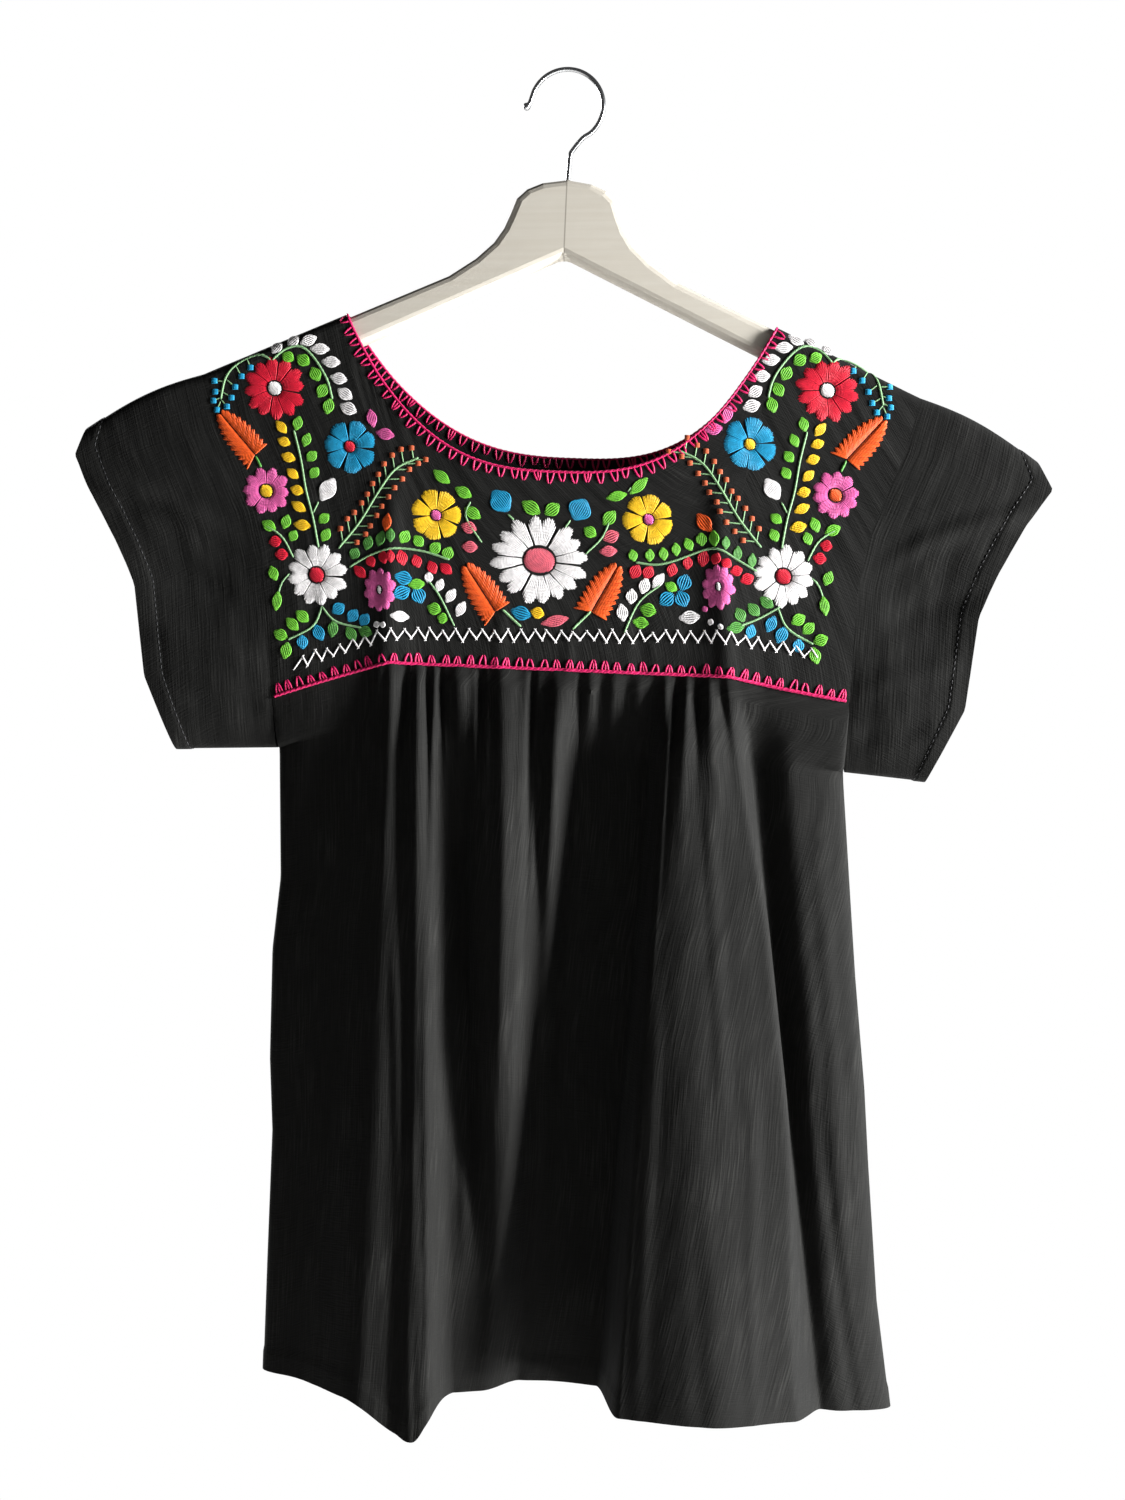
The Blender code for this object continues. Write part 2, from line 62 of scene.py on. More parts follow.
# Yoke
SEAM_GAP = 0.05
SHOULDER_SLOPE = 0.4535
NECK_HALF_WIDTH = 118.0
NECK_CORNER_Z = -138.0
NECK_POWER = 2.85
SHOULDER_END_X = 196.5
YOKE_HEM_Z = -330.0
YOKE_HEM_DROOP = 16.0
YOKE_HEM_SKEW = 5.5
YOKE_HEM_BREAK_X = 92.0
FOLD_OVER = 8.4
FOLD_DROP = 7.0
FOLD_SQUARENESS = 2.6
RIDGE_OUT = 2.5
SHOULDER_COLUMNS = 31
NECK_COLUMNS = 131
YOKE_ROWS = [0.0, 0.006, 0.022, 0.045, 0.11, 0.22, 0.36, 0.52, 0.68, 0.84, 1.0]
YOKE_FINER = 8

# Armhole
SHOULDER_END_Z = NECK_CORNER_Z - SHOULDER_SLOPE * (SHOULDER_END_X - NECK_HALF_WIDTH)
UNDERARM_Z = -378.0
CLOSING_Z = -290.0
ARMHOLE_SWELL = 3.6

# Body
HEM_Z = -722.0
FOLD_SHOULDER = 0.78
SIDE_COLUMNS = 11
SIDE_ROUNDNESS = 2.6
# The hem's drop fades out over these widths to its left and right.
DROP_LEFT = 38.0
DROP_RIGHT = 15.0
BODY_ROWS = [0.0, 0.02, 0.05, 0.088, 0.14, 0.22, 0.32, 0.44, 0.58, 0.74, 0.88, 0.9745, 1.0]
BODY_FINER = 10
COLUMNS_FINER = 3

# Sleeve
SLEEVE_TOP_Z = -206.0
SLEEVE_LOW_Z = -381.0
SLEEVE_HALF_DEPTH = 13.0
SLEEVE_CROWN = 4.0
SLEEVE_FOLD = 1.6
SLEEVE_COLUMNS = 85
SLEEVE_ROWS = 57

# Hook
BLOCK_TOP_Z = -60.5
WIRE_RADIUS = 1.25
LOOP_RADIUS = 20.0
LOOP_MIDDLE_Z = WIRE_RADIUS - LOOP_RADIUS
LOOP_START_DEG = -62.0
LOOP_END_DEG = 168.0

Armhole = namedtuple("Armhole", "z x")
ARMHOLE = [
    Armhole(-173.6, 196.5),
    Armhole(-204.0, 188.0),
    Armhole(-227.0, 178.0),
    Armhole(-250.0, 168.5),
    Armhole(-275.0, 162.5),
    Armhole(-312.0, 159.5),
    Armhole(-346.0, 157.5),
    Armhole(-378.0, 156.0),
]

Side = namedtuple("Side", "z left right")
SIDES = [
    Side(-346.0, 157.2, 157.2),
    Side(-377.0, 154.8, 154.8),
    Side(-384.0, 154.6, 155.0),
    Side(-450.0, 154.0, 159.0),
    Side(-490.0, 158.6, 161.5),
    Side(-550.0, 160.0, 166.4),
    Side(-590.0, 158.6, 168.4),
    Side(-665.0, 161.5, 173.0),
    Side(-722.0, 163.5, 180.0),
]

SleeveHem = namedtuple("SleeveHem", "z left right")
SLEEVE_HEM = [
    SleeveHem(-206.0, 261.0, 258.0),
    SleeveHem(-222.0, 266.5, 266.0),
    SleeveHem(-241.0, 258.0, 252.0),
    SleeveHem(-269.0, 243.0, 236.5),
    SleeveHem(-292.0, 233.0, 226.5),
    SleeveHem(-342.0, 227.5, 219.0),
    SleeveHem(-381.0, 212.0, 199.0),
]

# Large folds move from their top places to their hem places and stand out by three depths on the way down.
# A fold with a lean hangs over its right flank by that much.
Fold = namedtuple(
    "Fold",
    "top_left top_right hem_left hem_right soft_left soft_right out_top out_middle out_hem lean",
)
# Columns of the grid follow guide lines, so that they run along the folds.
Guide = namedtuple("Guide", "top hem columns")
# A gather is one small pleat under the yoke: its place, half its width, its depth and how far down it lasts.
Gather = namedtuple("Gather", "x half out length")
# A crease is a soft line in the cloth from its top to its low end. A minus sign makes it a groove.
Crease = namedtuple("Crease", "x_top z_top x_low z_low half out")
Panel = namedtuple(
    "Panel",
    "side neck_depth neck_shift swell ring_top ring_hem folds guides drop_x drop gathers creases "
    "yoke_creases",
)

FRONT = Panel(
    side=-1,
    neck_depth=84.0,
    neck_shift=0.0,
    swell=5.0,
    ring_top=13.0,
    ring_hem=17.0,
    folds=[
        Fold(-128, -62, -152, -56, 50, 12, 7, 17, 33, 0),
        Fold(-82, -46, -84, -36, 8, 24, 2, 5, 7, 0),
        Fold(-60, -6, -46, -16, 18, 14, 7, 13, -2, 0),
        Fold(-10, 12, -20, -6, 9, 9, 5, 3, 0, 0),
        Fold(0, 64, -42, 34, 20, 14, -8, -16, -23, 0),
        Fold(51, 102, 21, 142, 13, 16, 6, 14, 26, 12),
        Fold(51, 112, 21, 140, 13, 60, 4, 9, 14, 0),
        Fold(92, 126, 134, 154, 10, 22, -8, -12, -4, 0),
    ],
    guides=[
        Guide(-104, -132, 12),
        Guide(-78, -80, 7),
        Guide(-60, -58, 5),
        Guide(-46, -38, 12),
        Guide(-9, -24, 7),
        Guide(11, -8, 7),
        Guide(52, 20, 8),
        Guide(66, 36, 13),
        Guide(91, 124, 7),
        Guide(106, 146, 0),
    ],
    drop_x=-75.0,
    drop=19.0,
    gathers=[
        Gather(-97, 5, 1.3, 0.16),
        Gather(-90, 5, 2.6, 0.34),
        Gather(-83, 3.5, -2.6, 0.24),
        Gather(-76, 4.5, 2.4, 0.30),
        Gather(-70.5, 2.6, -2.2, 0.26),
        Gather(-67, 2.6, 1.5, 0.20),
        Gather(-63.5, 2.4, -2.0, 0.17),
        Gather(-54, 8, 2.6, 0.16),
        Gather(-42, 4, -3.0, 0.20),
        Gather(-28, 9, 2.2, 0.45),
        Gather(-13.5, 3.4, -2.8, 0.30),
        Gather(1.0, 8, 2.4, 0.34),
        Gather(12.5, 3, -2.4, 0.16),
        Gather(18.5, 3.6, 2.0, 0.12),
        Gather(25, 3.2, -1.6, 0.14),
        Gather(31, 4, 1.6, 0.18),
        Gather(38.5, 3.4, -1.4, 0.12),
        Gather(45, 4.4, 1.5, 0.15),
        Gather(52.5, 3.4, -1.8, 0.18),
        Gather(59, 4, 1.9, 0.14),
        Gather(65, 2.8, -2.4, 0.20),
        Gather(70.5, 3.6, 2.2, 0.16),
        Gather(76, 2.8, -2.0, 0.13),
        Gather(82, 4.2, 2.0, 0.18),
        Gather(88.5, 3.4, -1.6, 0.22),
    ],
    creases=[
        Crease(-88, -440, -79, -730, 5.5, 1.5),
        Crease(-72, -560, -66, -735, 6.0, -1.1),
        Crease(-52, -368, -51, -600, 9.0, -5.0),
        Crease(-54, -470, -50, -640, 5.0, 1.8),
        Crease(-112, -420, -131, -640, 12.0, -1.6),
        Crease(-26, -380, -31, -560, 7.0, 0.9),
        Crease(2, -360, -6, -520, 6.0, 1.0),
        Crease(80, -372, 88, -570, 4.5, 0.8),
        Crease(56, -470, 43, -716, 6.0, 0.9),
        Crease(97, -520, 104, -716, 4.5, 0.9),
        Crease(76, -600, 76, -724, 8.0, -0.7),
        Crease(141, -395, 155, -640, 7.0, 1.1),
        Crease(136, -520, 160, -722, 6.0, -1.0),
    ],
    yoke_creases=[
        Crease(-88, -215, -94, -334, 8.0, 1.1),
        Crease(86, -215, 92, -334, 8.0, 1.1),
        Crease(-30, -290, -32, -336, 6.0, 0.7),
        Crease(8, -296, 6, -336, 5.0, 0.6),
        Crease(44, -288, 46, -336, 7.0, -0.6),
        Crease(-150, -250, -128, -330, 10.0, -0.8),
        Crease(150, -240, 130, -322, 10.0, -0.8),
    ],
)
BACK = Panel(
    side=1,
    neck_depth=73.0,
    neck_shift=8.0,
    swell=3.0,
    ring_top=15.0,
    ring_hem=33.0,
    folds=[
        Fold(-116, -76, -146, -78, 24, 26, 2, 6, 10, 0),
        Fold(-70, -30, -88, -34, 20, 20, -1, -2, -3, 0),
        Fold(-30, 12, -46, 22, 22, 20, 3, 7, 10, 0),
        Fold(14, 58, 16, 64, 18, 18, -1, -3, -2, 0),
        Fold(58, 102, 56, 132, 22, 30, 3, 8, 12, 0),
    ],
    guides=[
        Guide(-112, -138, 13),
        Guide(-76, -82, 14),
        Guide(-32, -42, 14),
        Guide(12, 19, 14),
        Guide(58, 58, 15),
        Guide(104, 128, 0),
    ],
    drop_x=88.0,
    drop=5.0,
    gathers=[
        Gather(-95, 5, 1.8, 0.22),
        Gather(-87, 3.6, -2.2, 0.18),
        Gather(-80, 5, 2.3, 0.32),
        Gather(-72, 3.4, -2.0, 0.24),
        Gather(-66, 3.6, 1.6, 0.15),
        Gather(-60, 3, -2.2, 0.20),
        Gather(-51, 6.5, 2.4, 0.24),
        Gather(-41, 3.8, -2.6, 0.30),
        Gather(-33, 4.6, 1.8, 0.16),
        Gather(-26, 3, -1.8, 0.14),
        Gather(-17, 7, 2.5, 0.36),
        Gather(-6.5, 3.6, -2.4, 0.22),
        Gather(0.5, 4, 1.9, 0.18),
        Gather(7, 3.2, -1.9, 0.24),
        Gather(15, 5.6, 2.2, 0.20),
        Gather(24, 3.4, -2.2, 0.28),
        Gather(31, 4.4, 1.7, 0.15),
        Gather(38, 3, -1.7, 0.17),
        Gather(47, 6.4, 2.4, 0.34),
        Gather(57, 3.8, -2.4, 0.20),
        Gather(64, 3.6, 1.8, 0.14),
        Gather(70, 3, -1.8, 0.22),
        Gather(78, 5.4, 2.1, 0.26),
        Gather(87, 3.8, -1.9, 0.18),
    ],
    creases=[
        Crease(-98, -420, -112, -722, 8.0, 1.4),
        Crease(-64, -390, -70, -610, 9.0, -1.8),
        Crease(-20, -440, -14, -716, 6.0, 1.1),
        Crease(30, -380, 40, -560, 7.0, -1.3),
        Crease(84, -430, 98, -722, 7.0, 1.5),
        Crease(122, -400, 136, -650, 9.0, -1.0),
    ],
    yoke_creases=[
        Crease(-84, -230, -92, -334, 9.0, 0.9),
        Crease(88, -230, 90, -334, 9.0, 0.9),
        Crease(-20, -284, -24, -336, 7.0, 0.6),
        Crease(34, -290, 36, -336, 6.0, -0.5),
    ],
)

# Creases of a sleeve run from the seam towards its hem: places out along the sleeve and down its side, both
# as shares, half the width in shares of the drop, and the depth on the front and on the back.
SleeveCrease = namedtuple("SleeveCrease", "out_start down_start out_end down_end half front back")
SLEEVE_CREASES = [
    SleeveCrease(0.05, 0.46, 1.00, 0.16, 0.055, 1.5, 0.8),
    SleeveCrease(0.15, 0.60, 1.00, 0.42, 0.070, -1.3, 0.9),
    SleeveCrease(0.00, 0.78, 0.85, 0.66, 0.055, 1.2, -0.9),
    SleeveCrease(0.00, 0.90, 0.70, 0.86, 0.050, -1.2, 1.0),
    SleeveCrease(0.25, 0.30, 0.95, 0.28, 0.050, -0.8, -0.7),
]


def column(table, name):
    """One named column of a table as an array."""
    return np.array([getattr(row, name) for row in table], float)


def read_down(table, name, z):
    """The table's named value at each height z, read by straight lines between its rows."""
    return np.interp(-np.asarray(z, float), -column(table, "z"), column(table, name))


def refined(values, factor):
    """The same row of values with factor steps in place of each one."""
    values = np.asarray(values, float)
    places = np.linspace(0.0, len(values) - 1.0, (len(values) - 1) * factor + 1)
    return np.interp(places, np.arange(len(values)), values)


def ease(t):
    """Zero below 0 and one above 1, with a soft start and end between: 3t^2 - 2t^3."""
    t = np.clip(t, 0.0, 1.0)
    return t * t * (3.0 - 2.0 * t)


def hump(t):
    """One at t = 0, falling as a raised cosine to zero at t = -1 and t = 1."""
    return 0.5 + 0.5 * np.cos(np.pi * np.clip(t, -1.0, 1.0))


def lens(t, power):
    """Half of a superellipse: one in the middle, falling upright to zero at t = -1 and t = 1."""
    return (1.0 - np.abs(np.clip(t, -1.0, 1.0)) ** power) ** (1.0 / power)


def hang(points):
    """Tilts the level garment with the hanger; below the shoulders the cloth hangs plumb again."""
    x, y, z = np.moveaxis(np.asarray(points, float), -1, 0)
    sideways = MIDDLE_X + TILT * np.maximum(z, PLUMB_BELOW_Z)
    return np.stack([x + sideways, y, z - TILT * x], axis=-1)


def unit(vectors):
    """The same directions with a length of one."""
    return vectors / np.maximum(np.linalg.norm(vectors, axis=-1, keepdims=True), 1e-9)


def shoulder_z(x):
    """Height of the shoulder line: straight down from the neck's corner."""
    return NECK_CORNER_Z + SHOULDER_SLOPE * (NECK_HALF_WIDTH - np.abs(x))


def neck_z(x, panel):
    """Height of the neck edge: a power curve, flat in the middle and steeper towards the shoulder. Its
    lowest place is moved sideways by the panel's shift, which fades out towards both corners."""
    share = np.clip(x / NECK_HALF_WIDTH, -1.0, 1.0)
    across = np.abs(share - panel.neck_shift / NECK_HALF_WIDTH * (1.0 - share**2))
    return NECK_CORNER_Z - panel.neck_depth * (1.0 - across**NECK_POWER)


def yoke_hem_z(x):
    """Height of the seam between yoke and body: level in the middle, drooping at the sides."""
    beyond = (np.abs(x) - YOKE_HEM_BREAK_X) / (ARMHOLE[-2].x - YOKE_HEM_BREAK_X)
    droop = YOKE_HEM_DROOP - YOKE_HEM_SKEW * x / ARMHOLE[-2].x
    return YOKE_HEM_Z - droop * np.clip(beyond, 0.0, 1.0)


def yoke_side_z(share):
    """Height of that seam's end, on the left where the share is below 0 and else on the right."""
    return yoke_hem_z(np.where(share < 0, -ARMHOLE[-2].x, ARMHOLE[-2].x))


def crease_depth(x, z, creases):
    """Sum of soft lines: each is a raised cosine across its line, eased in and out along its length."""
    depth = np.zeros(np.broadcast(x, z).shape)
    for crease in creases:
        along = (crease.z_top - z) / (crease.z_top - crease.z_low)
        line = crease.x_top + (crease.x_low - crease.x_top) * np.clip(along, 0.0, 1.0)
        fade = ease(along / 0.3) * ease((1.15 - along) / 0.3)
        depth = depth + crease.out * hump((x - line) / crease.half) * fade
    return depth


def yoke_depth(x, z, swell):
    """Distance of the yoke from the middle plane: a bend over the hanger's board, then a soft swell with a
    ridge below each end of the neck. Towards the sides it becomes the armhole's edge, which closes to
    nothing at the underarm."""
    below = shoulder_z(x) - z
    depth = FOLD_OVER * lens(np.clip(1.0 - below / FOLD_DROP, 0.0, 1.0), FOLD_SQUARENESS)
    low = ease((NECK_CORNER_Z - 40.0 - z) / 150.0)
    ridges = RIDGE_OUT * low * (hump((x + YOKE_HEM_BREAK_X) / 22.0) + hump((x - YOKE_HEM_BREAK_X) / 22.0))
    edge = np.clip(np.abs(x) / read_down(ARMHOLE, "x", z), 0.0, 1.0) ** 6
    depth += (swell * ease((below - FOLD_DROP) / 120.0) + ridges) * (1.0 - edge)
    depth += ARMHOLE_SWELL * ease((below - FOLD_DROP) / 60.0) * edge
    closing = lens((CLOSING_Z - z) / (CLOSING_Z - UNDERARM_Z), 3.0)
    return depth * (1.0 - edge + np.where(z < CLOSING_Z, closing, 1.0) * edge)


def armhole_depth(z):
    """The same distance along the armhole's edge."""
    return yoke_depth(read_down(ARMHOLE, "x", z), z, 0.0)


def yoke_cloth_depth(x, z, panel):
    """The yoke's distance from the middle plane with its creases, which die out at the armhole."""
    inner = 1.0 - np.clip(np.abs(x) / read_down(ARMHOLE, "x", z), 0.0, 1.0) ** 6
    return yoke_depth(x, z, panel.swell) + inner * crease_depth(x, z, panel.yoke_creases) + SEAM_GAP


def yoke_grid(panel):
    """Columns share out the shoulders and the neck; rows run from the top edge to the gathered seam."""
    neck_part = NECK_HALF_WIDTH / SHOULDER_END_X
    shoulder = np.linspace(neck_part, 1.0, SHOULDER_COLUMNS)
    neck = neck_part * np.sin(np.linspace(-0.5, 0.5, NECK_COLUMNS) * np.pi)
    share = np.concatenate([-shoulder[::-1], neck[1:-1], shoulder])
    down = refined(YOKE_ROWS, YOKE_FINER)
    top_x = share * SHOULDER_END_X
    top_z = np.where(np.abs(top_x) < NECK_HALF_WIDTH, neck_z(top_x, panel), shoulder_z(top_x))
    low_z = yoke_hem_z(share * ARMHOLE[-2].x) + SEAM_GAP
    z = top_z + (low_z - top_z) * down[:, None]
    edge_z = SHOULDER_END_Z + (yoke_side_z(share) - SHOULDER_END_Z) * down[:, None]
    x = share * read_down(ARMHOLE, "x", edge_z)
    y = panel.side * yoke_cloth_depth(x, z, panel)
    return np.stack([x, y, z], axis=-1)


def on_yoke(x, z, lift, panel, face=1.0, wall=0.35):
    """Points above the yoke's outer face, or its inner face with face = -1, and the direction square to it.
    The direction comes from the slopes of the depth, taken over short steps."""
    step = 0.4
    slope_x = (yoke_cloth_depth(x + step, z, panel) - yoke_cloth_depth(x - step, z, panel)) / (2.0 * step)
    slope_z = (yoke_cloth_depth(x, z + step, panel) - yoke_cloth_depth(x, z - step, panel)) / (2.0 * step)
    flat = np.ones(np.shape(slope_x))
    normal = face * unit(np.stack([-slope_x, panel.side * flat, -slope_z], axis=-1))
    place = np.stack(np.broadcast_arrays(x, panel.side * yoke_cloth_depth(x, z, panel), z), axis=-1)
    return place + normal * (np.asarray(lift) + wall)[..., None], normal


def fold_moves(x, fall, panel):
    """What the large folds add to a panel, outwards and sideways: each is a crowned strip with two soft
    flanks, and moves from its place at the yoke to its place at the hem. Its lean grows from its middle to
    its right edge, and fades out towards the yoke and the hem."""
    depth = np.zeros(np.broadcast(x, fall).shape)
    sideways = depth.copy()
    for fold in panel.folds:
        left = fold.top_left + (fold.hem_left - fold.top_left) * fall
        right = fold.top_right + (fold.hem_right - fold.top_right) * fall
        out = np.interp(fall, [0.0, 0.5, 1.0], [fold.out_top, fold.out_middle, fold.out_hem])
        crown = FOLD_SHOULDER + (1.0 - FOLD_SHOULDER) * hump((2.0 * x - left - right) / (right - left))
        flank = ease((right - x) / fold.soft_right)
        depth = depth + out * crown * ease((x - left) / fold.soft_left) * flank
        over = ease((2.0 * x - left - right) / (0.8 * (right - left))) * flank
        sideways = sideways + fold.lean * over * ease(fall / 0.35) * ease((1.0 - fall) / 0.45)
    return depth, sideways


def gather_depth(x, fall, panel):
    """Small pleats under the yoke, each a raised cosine across that dies away with the square of the fall."""
    depth = np.zeros(np.broadcast(x, fall).shape)
    for gather in panel.gathers:
        dying = np.exp(-((fall / gather.length) ** 2))
        depth = depth + gather.out * hump((x - gather.x) / gather.half) * dying
    return depth * (0.45 + 0.55 * ease(fall / 0.03))


def body_columns(panel):
    """Where each column starts along the yoke, and how far it moves sideways on its way to the hem."""
    half = ARMHOLE[-2].x
    top, hem = column(panel.guides, "top"), column(panel.guides, "hem")
    pairs = zip(panel.guides, panel.guides[1:])
    inner = [np.linspace(a.top, b.top, COLUMNS_FINER * a.columns, endpoint=False) for a, b in pairs]
    turn = np.sin(np.linspace(0.0, 0.5, COLUMNS_FINER * SIDE_COLUMNS + 1) * np.pi)
    left = top[0] + (-half - top[0]) * turn[:0:-1]
    right = top[-1] + (half - top[-1]) * turn
    start = np.concatenate([left] + inner + [right])
    sideways = np.interp(start, np.r_[-half, top, half], np.r_[0.0, hem - top, 0.0])
    return start, sideways


def body_grid(panel):
    """A half ring from side seam to side seam: a flat lens in section, with its folds, gathers and creases
    on top."""
    start, sideways = body_columns(panel)
    share = start / ARMHOLE[-2].x
    fall = refined(BODY_ROWS, BODY_FINER)[:, None]
    beside = start + sideways - panel.drop_x
    drop = panel.drop * hump(beside / np.where(beside < 0.0, DROP_LEFT, DROP_RIGHT))
    top_z = yoke_hem_z(start) - SEAM_GAP
    z = top_z + (HEM_Z - drop - top_z) * fall
    width = np.where(share < 0, read_down(SIDES, "left", z), read_down(SIDES, "right", z))
    x = start + sideways * fall + np.sign(share) * (width - ARMHOLE[-2].x) * share**4
    side_z = yoke_side_z(share)
    edge_z = side_z + (HEM_Z - side_z) * fall
    edge = np.where(edge_z > UNDERARM_Z, armhole_depth(edge_z), 0.0)
    ring = ease(fall / 0.12)
    held = armhole_depth(side_z) * (1.0 - ring)
    rounded = lens(share, SIDE_ROUNDNESS)
    depth = panel.ring_top + (panel.ring_hem - panel.ring_top) * fall
    at_yoke = yoke_cloth_depth(x[0], z[0], panel) - armhole_depth(side_z)
    folds, lean = fold_moves(x, fall, panel)
    out = folds * ring + gather_depth(start, fall, panel) + crease_depth(x, z, panel.creases)
    held = held + (edge - held) * np.abs(share) ** 10
    y = held + at_yoke * (1.0 - ring) + (depth * ring + out) * rounded
    return np.stack([x + lean, panel.side * (y + SEAM_GAP), z], axis=-1)


def sleeve_crease_depth(out, down, side_of_cloth):
    """Sum of the sleeve's creases: each a raised cosine across a straight line from seam towards hem."""
    depth = np.zeros(np.broadcast(out, down).shape)
    for crease in SLEEVE_CREASES:
        along = (out - crease.out_start) / (crease.out_end - crease.out_start)
        line = crease.down_start + (crease.down_end - crease.down_start) * np.clip(along, 0.0, 1.0)
        fade = ease(along / 0.35) * ease((1.2 - along) / 0.35)
        depth = depth + getattr(crease, side_of_cloth) * hump((down - line) / crease.half) * fade
    return depth * ease(down / 0.12) * ease((1.0 - down) / 0.08)


def sleeve_grid(side):
    """A tube: rows run out from the armhole to the sleeve's hem, columns down its front and up its back."""
    down = 0.5 - 0.5 * np.cos(np.linspace(0.0, 1.0, SLEEVE_COLUMNS) * np.pi)
    out = np.linspace(0.0, 1.0, SLEEVE_ROWS)[:, None]
    arm_z = SHOULDER_END_Z + (UNDERARM_Z - SHOULDER_END_Z) * down
    arm_x = read_down(ARMHOLE, "x", arm_z)
    hem_z = SLEEVE_TOP_Z + (SLEEVE_LOW_Z - SLEEVE_TOP_Z) * down
    hem_x = read_down(SLEEVE_HEM, "left" if side < 0 else "right", hem_z)
    x = arm_x + (hem_x - arm_x) * out
    crown = SLEEVE_CROWN * np.sin(np.pi * out) * (1.0 - down) ** 3
    z = arm_z + (hem_z - arm_z) * out + crown
    depth = armhole_depth(arm_z) * (1.0 - out) + SLEEVE_HALF_DEPTH * lens(2.0 * down - 1.0, 4.0) * out
    soft = SLEEVE_FOLD * np.sin(np.pi * out) * np.sin(3.0 * np.pi * down)
    soft = soft * ease(down / 0.4) * ease((1.0 - down) / 0.1)
    front_y = -(depth + soft + sleeve_crease_depth(out, down, "front"))
    back_y = depth - soft + sleeve_crease_depth(out, down, "back")
    front = np.stack([x, front_y, z], axis=-1)
    back = np.stack([x, back_y, z], axis=-1)
    ring = np.concatenate([front, back[:, -2:0:-1]], axis=1)
    return ring * np.array([side, 1.0, 1.0])


def squared(normals, at_seam):
    """Turns the wall's end faces square to the seam's plane, so that two walls that meet there stay apart."""
    turned = normals.copy()
    turned[at_seam, 1] = 0.0
    return unit(turned)


def grid_normals(grid, closed=False):
    """Unit vectors square to the sheet at each point, from the points on either side of it."""
    if closed:
        across = np.roll(grid, -1, axis=1) - np.roll(grid, 1, axis=1)
    else:
        across = np.gradient(grid, axis=1)
    return unit(np.cross(np.gradient(grid, axis=0), across))


def lengths(grid, axis):
    """Distance run along one axis of a grid, from its first point."""
    steps = np.linalg.norm(np.diff(grid, axis=axis), axis=-1)
    pad = [(1, 0) if number == axis else (0, 0) for number in range(2)]
    return np.cumsum(np.pad(steps, pad), axis=axis)


def grid_faces(rows, columns, closed_across=False, closed_down=False, first=0):
    """Quads between neighbouring points of a grid, as rows of four point numbers."""
    index = first + np.arange(rows * columns).reshape(rows, columns)
    if closed_across:
        index = np.concatenate([index, index[:, :1]], axis=1)
    if closed_down:
        index = np.concatenate([index, index[:1]], axis=0)
    corners = index[:-1, :-1], index[1:, :-1], index[1:, 1:], index[:-1, 1:]
    return np.stack([corner.ravel() for corner in corners], axis=1)


def make_piece(name, points, faces, material, uv=None, smooth_angle=50.0):
    """A mesh object in metres from level points in millimetres, riding on the part's body."""
    points = np.ascontiguousarray(hang(points) * MM)
    faces = np.ascontiguousarray(faces)
    mesh = bpy.data.meshes.new(name)
    mesh.vertices.add(len(points))
    mesh.vertices.foreach_set("co", points.ravel())
    sides = faces.shape[1]
    mesh.loops.add(faces.size)
    mesh.loops.foreach_set("vertex_index", faces.ravel().astype(np.int32))
    mesh.polygons.add(len(faces))
    mesh.polygons.foreach_set("loop_start", np.arange(0, faces.size, sides, dtype=np.int32))
    mesh.polygons.foreach_set("loop_total", np.full(len(faces), sides, dtype=np.int32))
    mesh.update(calc_edges=True)
    mesh.validate()
    if uv is not None:
        layer = mesh.uv_layers.new(name="cloth")
        layer.data.foreach_set("uv", uv[faces.ravel()].astype(np.float32).ravel())
    mesh.shade_smooth()
    mesh.set_sharp_from_angle(angle=math.radians(smooth_angle))
    made = bpy.data.objects.new(name, mesh)
    bpy.context.scene.collection.objects.link(made)
    mesh.materials.append(material)
    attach(made, "root")
    return made


def cloth_wall(name, grid, normals, thickness, material, closed=False, warp_across=False):
    """A sheet with real thickness: two skins half of it to each side of the grid, joined along the open
    edges. Its UV map holds the distances across and along the warp in millimetres; the warp runs down the
    grid's rows, or across them on the sleeves."""
    rows, columns = grid.shape[:2]
    half = np.broadcast_to(thickness, (rows, columns))[..., None] / 2.0
    points = np.concatenate([(grid + normals * half).reshape(-1, 3), (grid - normals * half).reshape(-1, 3)])
    skin = grid_faces(rows, columns, closed_across=closed)
    count = rows * columns
    index = np.arange(count).reshape(rows, columns)
    if closed:
        index = np.concatenate([index, index[:, :1]], axis=1)
    rims = [index[0], index[-1, ::-1]]
    if not closed:
        rims += [index[::-1, 0], index[:, -1]]
    edges = [np.stack([rim[:-1], rim[1:], rim[1:] + count, rim[:-1] + count], axis=1) for rim in rims]
    faces = np.concatenate([skin, skin[:, ::-1] + count] + edges)
    across, down = lengths(grid, 1), lengths(grid, 0)
    uv = np.stack([down.ravel(), across.ravel()] if warp_across else [across.ravel(), down.ravel()], axis=1)
    return make_piece(name, points, faces, material, uv=np.concatenate([uv, uv]))


# Threads

# Points over a thread's back, and along one straight stitch.
THREAD_BACK = 5
STITCH_POINTS = 7


